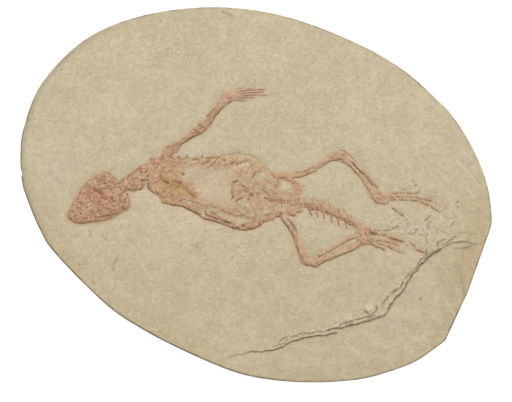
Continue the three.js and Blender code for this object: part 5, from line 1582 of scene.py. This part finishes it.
# %% [markdown]
# ## The long bones
# A thigh or shin bone is a shaft that widens at both ends, and here half of it is in the stone. It is
# lofted: a section, arched above the bed and shallow below it, is set at each step of the route and
# skinned. The ends are rounded by sections that shrink like slices of a ball.

# %% Loft one bone along its route
SECTION_SIDES = 20
LOFT_SPACING = 0.35
END_ROUNDS = (0.2, 0.45, 0.7, 0.88, 0.97)
END_REACH = 1.0
FOOT_SPREAD = 1.2
HEIGHT_SHARE = 0.48
SHOULDER_POWER = 1.5


def arch(route):
    """A closed low ridge along a route, as places in mm and faces."""
    line = smooth_route(route, LOFT_SPACING)
    along = np.gradient(line[:, :2], axis=0)
    along /= np.linalg.norm(along, axis=1)[:, None]
    turns = np.linspace(0, 2 * np.pi, SECTION_SIDES, endpoint=False)
    side, up = np.cos(turns) * FOOT_SPREAD, np.sin(turns)
    up = np.where(up > 0, HEIGHT_SHARE * np.abs(up) ** SHOULDER_POWER, up)
    rings = []

    def add_ring(index, ahead, share):
        x, y, half_width, height = line[index]
        centre = np.array([x, y]) + along[index] * ahead * half_width * END_REACH
        across = np.array([-along[index][1], along[index][0]]) * half_width * share
        z = up * np.where(up > 0, height, SINK) * share ** 0.7
        rings.append(np.column_stack([centre + side[:, None] * across, BED + z]))

    for share in END_ROUNDS:
        add_ring(0, -math.sqrt(1 - share ** 2), share)
    for index in range(len(line)):
        add_ring(index, 0, 1)
    for share in END_ROUNDS[::-1]:
        add_ring(-1, math.sqrt(1 - share ** 2), share)
    faces = [tuple(range(SECTION_SIDES))[::-1]]
    for ring in range(len(rings) - 1):
        a = ring * SECTION_SIDES
        for i in range(SECTION_SIDES):
            j = (i + 1) % SECTION_SIDES
            faces.append((a + i, a + j, a + SECTION_SIDES + j, a + SECTION_SIDES + i))
    last = (len(rings) - 1) * SECTION_SIDES
    faces.append(tuple(range(last, last + SECTION_SIDES)))
    return np.vstack(rings), faces


BONE_CRUMBLE = 0.12
for seed, (node, route) in enumerate(LONG_BONES.items()):
    bone_mesh = fused([arch(route)])
    crumbled(bone_mesh, BONE_CRUMBLE, 1.2, seed + 50)
    forelimb = node.endswith(("humerus", "radius", "ulna"))
    finish_bone(bone_mesh, node + "_bone", node, warm_bone if forelimb else fossil_bone)
    print(node, "has", len(bone_mesh.polygons), "faces")

# %% [markdown]
# ## Shoulder, pelvis and the folded hand
# These are clusters of flat bones that were crushed together. Each plate is lofted like a long bone,
# and the fused skin is crumbled more strongly and in finer lumps.

# %% Crushed clusters
CLUSTERS = {
    "shoulder_girdle": (SHOULDER, 0.3, 0.8, 70),
    "pelvis": (PELVIS, 0.2, 1.1, 71),
    "left_hand": ([LEFT_HAND], 0.16, 0.9, 72),
}
for node, (routes, amount, size, seed) in CLUSTERS.items():
    cluster_mesh = fused([arch(route) for route in routes])
    crumbled(cluster_mesh, amount, size, seed)
    finish_bone(cluster_mesh, node + "_bones", node, warm_bone if node == "pelvis" else rubble_bone)
    print(node, "has", len(cluster_mesh.polygons), "faces")

# %% [markdown]
# ## Crusts: skull, neck and shoulder
# The skull is crushed flat, and its roof is broken into small lumps with pits between them. The neck
# and the shoulder are such rubble too. Each is modelled as a sheet over its outline: a low dome that
# rises from the edge, with rough noise on it and deep crevices. The side below is a flat copy.

# %% A crusted sheet over an outline
CRUST_SPACING = 0.26
CRUSTS = {
    "crushed_skull": ("skull", SKULL_OUTLINE, 0.6, 3.4, 0.5, 83),
    "neck_rubble": ("neck_vertebrae", NECK_OUTLINE, 0.6, 1.6, 0.5, 85),
    "shoulder_rubble": ("shoulder_girdle", SHOULDER_OUTLINE, 0.45, 2.4, 0.5, 87),
    "right_knee_bones": ("right_femur", RIGHT_KNEE_OUTLINE, 0.5, 1.8, 0.2, 88),
    "right_ankle_bones": ("right_foot", RIGHT_ANKLE_OUTLINE, 0.4, 2.4, 0.28, 89),
    "left_ankle_bones": ("left_foot", LEFT_ANKLE_OUTLINE, 0.45, 2.4, 0.3, 91),
}
CRUST_SKINS = {"skull": skull_bone, "neck_vertebrae": rubble_bone, "shoulder_girdle": rubble_bone}


def crust_geometry(outline, dome_height, dome_width, roughness, seed):
    closed = [(x, y, 0, 0) for x, y in [*outline, outline[0]]]
    edge = smooth_route(closed, CRUST_SPACING)[:-1, :2]
    wobble = rough_field(np.column_stack([edge, np.zeros(len(edge))]), 1.4, 2, seed)
    edge = moved_inwards(edge, 0.1 + 0.2 * wobble)
    grid = jittered_grid(CRUST_SPACING, seed)
    grid = grid[inside(grid, moved_inwards(edge, CRUST_SPACING * 0.7).tolist())]
    flat = np.vstack([edge, grid])
    count = len(edge)
    faces = joined_triangles(flat, count)
    rise = np.clip(depth_inside(flat, outline, 20.0) / dome_width, 0, 1)
    level = np.column_stack([flat, np.zeros(len(flat))])
    bumps = 0.6 * rough_field(level, 1.1, 3, seed + 1) + 0.7 * rough_field(level, 2.6, 3, seed + 2)
    z = BED + dome_height * (1 - (1 - rise) ** 2.6) + roughness * bumps * smooth_step(rise * 3)
    z -= 0.35 * ragged_strength(flat, CREVICES)
    z[:count] = BED - SINK
    under = np.column_stack([flat, np.full(len(flat), BED - SINK)])
    vertices = np.vstack([np.column_stack([flat, z]), under[count:]])
    below = np.concatenate([np.arange(count), np.arange(len(flat), 2 * len(flat) - count)])
    hollow = np.concatenate([np.clip(0.5 - 0.7 * bumps, 0, 1), np.zeros(len(flat) - count)])
    return vertices, [*faces.tolist(), *below[faces][:, ::-1].tolist()], hollow


for name, (node, outline, *shape) in CRUSTS.items():
    crust_vertices, crust_faces, crust_hollow = crust_geometry(outline, *shape)
    crust_mesh = new_mesh(name, crust_vertices, crust_faces)
    set_numbers(crust_mesh, "hollow", crust_hollow)
    finish_bone(crust_mesh, name, node, CRUST_SKINS.get(node, fossil_bone), 0.1)
    print(name, "has", len(crust_mesh.polygons), "faces")

# %% [markdown]
# ## Geometry Nodes for what repeats
# Vertebrae, ribs, finger bones and toe bones repeat along lines, so Geometry Nodes make them. The
# input of each tree is a mesh of plain edges that carries half the width and the height of the bone
# at each point. These helpers add a node, make a tree with named inputs, and do sums inside it.

# %% Helpers for geometry trees
def add_node(tree, kind, **settings):
    node = tree.nodes.new(kind)
    for name, value in settings.items():
        setattr(node, name, value)
    return node


def geometry_tree(name, inputs):
    """A tree with a geometry input and output and the named inputs, with its two end nodes."""
    tree = bpy.data.node_groups.new(name, "GeometryNodeTree")
    tree.interface.new_socket("Geometry", in_out="INPUT", socket_type="NodeSocketGeometry")
    for label, (kind, value) in inputs.items():
        socket = tree.interface.new_socket(label, in_out="INPUT", socket_type=kind)
        if value is not None:
            socket.default_value = value
    tree.interface.new_socket("Geometry", in_out="OUTPUT", socket_type="NodeSocketGeometry")
    return tree, tree.nodes.new("NodeGroupInput"), tree.nodes.new("NodeGroupOutput")


def calculated(tree, operation, *values):
    """The result of a Math node."""
    node = add_node(tree, "ShaderNodeMath", operation=operation)
    for socket, value in zip(node.inputs, values):
        plug(tree, socket, value)
    return node.outputs[0]


def vector_result(tree, operation, first, second=None, scale=None):
    node = add_node(tree, "ShaderNodeVectorMath", operation=operation)
    plug(tree, node.inputs[0], first)
    if second is not None:
        plug(tree, node.inputs[1], second)
    if scale is not None:
        plug(tree, node.inputs["Scale"], scale)
    return node.outputs["Value" if operation == "LENGTH" else "Vector"]


def named_number(tree, name, data_type="FLOAT"):
    node = add_node(tree, "GeometryNodeInputNamedAttribute", data_type=data_type)
    node.inputs["Name"].default_value = name
    return node.outputs["Attribute"]


def stored(tree, geometry, name, value, data_type="FLOAT", domain="POINT"):
    node = add_node(tree, "GeometryNodeStoreNamedAttribute", data_type=data_type, domain=domain)
    node.inputs["Name"].default_value = name
    plug(tree, node.inputs["Geometry"], geometry)
    plug(tree, node.inputs["Value"], value)
    return node.outputs["Geometry"]


SURFACE_INPUTS = {
    "Crumble": ("NodeSocketFloat", 0.0003), "Lump Size": ("NodeSocketFloat", 0.001),
    "Seed": ("NodeSocketInt", 0), "Material": ("NodeSocketMaterial", None),
}
print("Every tree has the inputs", list(SURFACE_INPUTS))

# %% [markdown]
# Both trees end in the same way: noise pushes the surface in and out along its normals, and the same
# noise is kept as the attribute hollow, which the material reads. Instances are realized before that,
# so that every copy is crumbled in its own way.

# %% Crumble, shade and paint
def crumble_and_paint(tree, geometry, given, end):
    position = add_node(tree, "GeometryNodeInputPosition").outputs["Position"]
    lumps = add_node(tree, "ShaderNodeTexNoise", noise_dimensions="4D")
    lumps.inputs["Detail"].default_value = 3.0
    plug(tree, lumps.inputs["Vector"], position)
    plug(tree, lumps.inputs["W"], given.outputs["Seed"])
    plug(tree, lumps.inputs["Scale"], calculated(tree, "DIVIDE", 1.0, given.outputs["Lump Size"]))
    centred = calculated(tree, "SUBTRACT", lumps.outputs["Fac"], 0.5)
    hollow = calculated(tree, "MULTIPLY_ADD", centred, -2.4, 0.5)
    noted = stored(tree, geometry, "hollow", hollow)
    normal = add_node(tree, "GeometryNodeInputNormal").outputs["Normal"]
    push = calculated(tree, "MULTIPLY", centred, given.outputs["Crumble"])
    moved = add_node(tree, "GeometryNodeSetPosition")
    plug(tree, moved.inputs["Geometry"], noted)
    plug(tree, moved.inputs["Offset"], vector_result(tree, "SCALE", normal, scale=push))
    smooth = add_node(tree, "GeometryNodeSetShadeSmooth")
    plug(tree, smooth.inputs["Geometry"], moved.outputs["Geometry"])
    painted = add_node(tree, "GeometryNodeSetMaterial")
    plug(tree, painted.inputs["Geometry"], smooth.outputs["Geometry"])
    plug(tree, painted.inputs["Material"], given.outputs["Material"])
    plug(tree, end.inputs["Geometry"], painted.outputs["Geometry"])


# %% [markdown]
# ### Rows of bones
# The tree cuts each line into equal stretches and puts one block on each. A block is a cube pulled
# towards a ball, with a waist round its middle, so that it widens at both ends as a toe bone does.
# With a length below 1, a gap stays between one bone and the next.

# %% The tree for rows of bones
def block_of_bone(tree, given):
    """A rounded block two units long, wide and high, with a waist."""
    block = add_node(tree, "GeometryNodeMeshCube")
    block.inputs["Size"].default_value = (2, 2, 2)
    for axis, count in (("X", 11), ("Y", 8), ("Z", 7)):
        block.inputs["Vertices " + axis].default_value = count
    position = add_node(tree, "GeometryNodeInputPosition").outputs["Position"]
    rounded = add_node(tree, "ShaderNodeMix", data_type="VECTOR")
    plug(tree, rounded.inputs[0], given.outputs["Roundness"])
    plug(tree, rounded.inputs[4], position)
    plug(tree, rounded.inputs[5], vector_result(tree, "NORMALIZE", position))
    parts = add_node(tree, "ShaderNodeSeparateXYZ")
    plug(tree, parts.inputs[0], rounded.outputs[1])
    from_middle = calculated(tree, "MULTIPLY", parts.outputs[0], parts.outputs[0])
    middle = calculated(tree, "SUBTRACT", 1.0, from_middle)
    pinch = calculated(tree, "MULTIPLY", middle, given.outputs["Waist"])
    narrow = calculated(tree, "SUBTRACT", 1.0, pinch)
    whole = add_node(tree, "ShaderNodeCombineXYZ")
    plug(tree, whole.inputs[0], parts.outputs[0])
    plug(tree, whole.inputs[1], calculated(tree, "MULTIPLY", parts.outputs[1], narrow))
    plug(tree, whole.inputs[2], calculated(tree, "MULTIPLY", parts.outputs[2], narrow))
    shaped = add_node(tree, "GeometryNodeSetPosition")
    plug(tree, shaped.inputs["Geometry"], block.outputs["Mesh"])
    plug(tree, shaped.inputs["Position"], whole.outputs[0])
    return shaped.outputs["Geometry"]


def stretches_as_points(tree, given):
    """A point in the middle of each equal stretch of each line, with the stretch kept as way."""
    curve = add_node(tree, "GeometryNodeMeshToCurve")
    plug(tree, curve.inputs["Mesh"], given.outputs["Geometry"])
    even = add_node(tree, "GeometryNodeResampleCurve")
    plug(tree, even.inputs["Curve"], curve.outputs["Curve"])
    plug(tree, even.inputs["Count"], calculated(tree, "ADD", given.outputs["Bones"], 1.0))
    edges = add_node(tree, "GeometryNodeCurveToMesh")
    plug(tree, edges.inputs["Curve"], even.outputs["Curve"])
    ends = add_node(tree, "GeometryNodeInputMeshEdgeVertices")
    way = vector_result(tree, "SUBTRACT", ends.outputs["Position 2"], ends.outputs["Position 1"])
    noted = stored(tree, edges.outputs["Mesh"], "way", way, "FLOAT_VECTOR", "EDGE")
    middles = add_node(tree, "GeometryNodeMeshToPoints", mode="EDGES")
    plug(tree, middles.inputs["Mesh"], noted)
    return middles.outputs["Points"]


def size_of_copy(tree, given, way):
    """Half the length of the stretch, the half width and the height, each a little by chance."""
    chance = add_node(tree, "FunctionNodeRandomValue", data_type="FLOAT")
    least, most = chance.inputs[2:4]
    plug(tree, least, calculated(tree, "SUBTRACT", 1.0, given.outputs["Wobble"]))
    plug(tree, most, calculated(tree, "ADD", 1.0, given.outputs["Wobble"]))
    plug(tree, chance.inputs["Seed"], given.outputs["Seed"])
    half_length = calculated(tree, "MULTIPLY", given.outputs["Length"], 0.5)
    size = add_node(tree, "ShaderNodeCombineXYZ")
    plug(tree, size.inputs[0], calculated(tree, "MULTIPLY", vector_result(tree, "LENGTH", way), half_length))
    for axis, name in ((1, "half_width"), (2, "height")):
        varied = calculated(tree, "MULTIPLY", named_number(tree, name), chance.outputs[1])
        plug(tree, size.inputs[axis], varied)
    return size.outputs[0]


def bone_row_tree():
    tree, given, end = geometry_tree("bones_in_a_row", {
        "Bones": ("NodeSocketInt", 4), "Length": ("NodeSocketFloat", 0.96),
        "Waist": ("NodeSocketFloat", 0.25), "Roundness": ("NodeSocketFloat", 0.6),
        "Wobble": ("NodeSocketFloat", 0.12), **SURFACE_INPUTS,
    })
    points = stretches_as_points(tree, given)
    way = named_number(tree, "way", "FLOAT_VECTOR")
    turn = add_node(tree, "FunctionNodeAlignRotationToVector", axis="X")
    plug(tree, turn.inputs["Vector"], way)
    copies = add_node(tree, "GeometryNodeInstanceOnPoints")
    plug(tree, copies.inputs["Points"], points)
    plug(tree, copies.inputs["Instance"], block_of_bone(tree, given))
    plug(tree, copies.inputs["Rotation"], turn.outputs["Rotation"])
    plug(tree, copies.inputs["Scale"], size_of_copy(tree, given, way))
    real = add_node(tree, "GeometryNodeRealizeInstances")
    plug(tree, real.inputs["Geometry"], copies.outputs["Instances"])
    crumble_and_paint(tree, real.outputs["Geometry"], given, end)
    return tree


bone_rows = bone_row_tree()
print("Nodes in the tree for rows:", len(bone_rows.nodes))

# %% [markdown]
# ### Ribs
# A rib is a thin rod, so its tree sweeps a circle along each line. The radius of the line at each
# point is half the rib's width there.

# %% The tree for ribs
def rib_tree():
    tree, given, end = geometry_tree("swept_ribs", {
        "Step": ("NodeSocketFloat", 0.0003), "Sides": ("NodeSocketInt", 10), **SURFACE_INPUTS,
    })
    curve = add_node(tree, "GeometryNodeMeshToCurve")
    plug(tree, curve.inputs["Mesh"], given.outputs["Geometry"])
    even = add_node(tree, "GeometryNodeResampleCurve", mode="LENGTH")
    plug(tree, even.inputs["Curve"], curve.outputs["Curve"])
    plug(tree, even.inputs["Length"], given.outputs["Step"])
    circle = add_node(tree, "GeometryNodeCurvePrimitiveCircle")
    circle.inputs["Radius"].default_value = 1.0
    plug(tree, circle.inputs["Resolution"], given.outputs["Sides"])
    sweep = add_node(tree, "GeometryNodeCurveToMesh")
    sweep.inputs["Fill Caps"].default_value = True
    plug(tree, sweep.inputs["Curve"], even.outputs["Curve"])
    plug(tree, sweep.inputs["Profile Curve"], circle.outputs["Curve"])
    plug(tree, sweep.inputs["Scale"], named_number(tree, "half_width"))
    crumble_and_paint(tree, sweep.outputs["Mesh"], given, end)
    return tree


swept_ribs = rib_tree()
print("Nodes in the tree for ribs:", len(swept_ribs.nodes))

# %% [markdown]
# ### Running a tree
# The tree runs as a modifier of a passing object. Its result is copied into a plain mesh, and the
# passing object is deleted, so that nothing is left to be worked out again later. The modifier's
# inputs are set by the identifiers of their sockets.

# %% Run a tree on a set of routes
ROW_HEIGHT_SHARE = 0.45


def route_mesh(name, routes, on_bed=True):
    """A mesh of edges along smooth routes. Off the bed, each point lies where a rod has its top."""
    vertices, edges, sizes = [], [], []
    for route in routes:
        line = smooth_route(route, 0.4)
        start = len(vertices)
        for x, y, half_width, height in line:
            vertices.append((x, y, BED if on_bed else BED + height - half_width))
        edges += [(start + i, start + i + 1) for i in range(len(line) - 1)]
        sizes.append(line[:, 2:4])
    mesh = bpy.data.meshes.new(name)
    mesh.from_pydata((np.array(vertices) * MM).tolist(), edges, [])
    half_widths, tops = np.vstack(sizes).T * MM
    if on_bed:
        tops = tops * ROW_HEIGHT_SHARE
    set_numbers(mesh, "half_width", half_widths)
    set_numbers(mesh, "height", tops)
    return mesh


def grown(tree, name, mesh, inputs):
    """The plain mesh that a tree makes from a mesh of routes."""
    holder = bpy.data.objects.new(name, mesh)
    bpy.context.scene.collection.objects.link(holder)
    modifier = holder.modifiers.new("grow", "NODES")
    modifier.node_group = tree
    sockets = {
        item.name: item.identifier for item in tree.interface.items_tree
        if item.item_type == "SOCKET" and item.in_out == "INPUT"
    }
    for label, value in inputs.items():
        modifier[sockets[label]] = value
    evaluated = holder.evaluated_get(bpy.context.evaluated_depsgraph_get())
    result = bpy.data.meshes.new_from_object(evaluated)
    result.name = name
    bpy.data.objects.remove(holder)
    return result


# %% [markdown]
# ## Hands, feet, neck and tail
# Each row is one call with its routes and inputs. The wrist is a small cluster, which is fused and
# crumbled like the shoulder. The ankles were made with the skull, as crusts over their outlines.

# %% Grow the rows of bones
ROWS = {
    "neck_bones": ("neck_vertebrae", [NECK], {"Bones": 4, "Waist": 0.15, "Crumble": 0.0011}),
    "neck_rib_bones": ("neck_vertebrae", NECK_RIBS, {"Bones": 1, "Crumble": 0.0004}),
    "right_finger_bones": ("right_hand", RIGHT_FINGERS, {"Bones": 4}),
    "right_toe_bones": ("right_foot", RIGHT_TOES, {"Bones": 5, "Length": 0.76}),
    "left_toe_bones": ("left_foot", LEFT_TOES, {"Bones": 4, "Length": 0.76}),
    "tail_base_bones": ("tail_base_vertebrae", [TAIL_BASE], {
        "Bones": 11, "Crumble": 0.0014, "Wobble": 0.5, "Waist": 0.35, "Length": 0.95,
    }),
    "tail_spine_bones": ("tail_base_vertebrae", TAIL_SPINES, {"Bones": 1}),
    "tail_end_bones": ("tail_end_vertebrae", [TAIL_END, TAIL_TIP], {
        "Bones": 7, "Crumble": 0.0009, "Wobble": 0.5, "Waist": 0.4, "Length": 0.74,
    }),
}
ROW_SKINS = {"neck_vertebrae": rubble_bone, "right_hand": pale_bone, "tail_base_vertebrae": warm_bone}
for seed, (name, (node, routes, inputs)) in enumerate(ROWS.items()):
    skin = ROW_SKINS.get(node, fossil_bone)
    row_mesh = grown(bone_rows, name, route_mesh(name, routes), {**inputs, "Seed": seed, "Material": skin})
    finish_bone(row_mesh, name, node, skin, 0.1)
    print(name, "has", len(row_mesh.polygons), "faces")

wrist_mesh = fused([arch(RIGHT_WRIST)])
crumbled(wrist_mesh, 0.2, 1.0, 90)
finish_bone(wrist_mesh, "right_wrist_bones", "right_hand", pale_bone)

# %% [markdown]
# ## The trunk
# Ten pairs of ribs spring from the backbone and bend back along the flanks. In the middle of the trunk
# a smooth film of stone still covers them, so there they dip below the bed, and they come out of it
# towards the flanks.

# %% Ribs and backbone that dip under the film
RIB_PAIRS = 10
RIB_HALF_WIDTH = 0.42
RIB_TOP = 0.42
FILM_DEPTH = 0.7


def on_route(route, share):
    """The place at a share of the way along a smooth route."""
    line = smooth_route(route, 0.2)
    return line[round(share * (len(line) - 1)), :2]


def rib_route(flank, share):
    root = on_route(BACKBONE, 0.04 + 0.9 * share)
    tip = on_route(flank, share)
    bend = root + (tip - root) * (0.3, 0.72)
    t = np.linspace(0, 1, 9)[:, None]
    places = (1 - t) ** 2 * root + 2 * t * (1 - t) * bend + t ** 2 * tip
    taper = 1 - 0.38 * t[:, 0]
    return dipped(np.column_stack([places, RIB_HALF_WIDTH * taper, RIB_TOP * taper]))


def dipped(route):
    """The same route with its height lowered where the film covers it."""
    route = np.array(route, float)
    film = smooth_step((depth_inside(route[:, :2], FILM_OUTLINE) + 1.2) / 2.4)
    route[:, 3] -= FILM_DEPTH * film
    return route


ribs = [
    rib_route(flank, pair / (RIB_PAIRS - 1))
    for flank in (RIGHT_FLANK, LEFT_FLANK) for pair in range(RIB_PAIRS)
]
rib_mesh = grown(swept_ribs, "rib_bones", route_mesh("rib_bones", ribs, on_bed=False), {
    "Crumble": 0.0004, "Seed": 20, "Material": fossil_bone,
})
finish_bone(rib_mesh, "rib_bones", "rib_cage", fossil_bone, 0.1)
backbone = dipped(smooth_route(BACKBONE, 1.0))
backbone[:, 3] = np.maximum(backbone[:, 3], 0.04)
backbone_mesh = grown(bone_rows, "trunk_vertebrae", route_mesh("trunk_vertebrae", [backbone]), {
    "Bones": 16, "Crumble": 0.0006, "Seed": 21, "Material": fossil_bone,
})
finish_bone(backbone_mesh, "trunk_vertebrae", "rib_cage", fossil_bone, 0.1)
print("Faces of ribs and backbone:", len(rib_mesh.polygons), len(backbone_mesh.polygons))

# %% [markdown]
# ## The box of the part and of its looks
# Everything above stays inside the solids' box. Both boxes are printed, so that they can be compared
# without opening Blender.

# %% Print the boxes and finish
visual_low, visual_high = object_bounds()
boxes = {"cad": [list(cad_low), list(cad_high)], "visual": [list(visual_low), list(visual_high)]}
for name, (low, high) in boxes.items():
    print(name, "box in mm:", [round(side / MM, 2) for side in (*low, *high)])
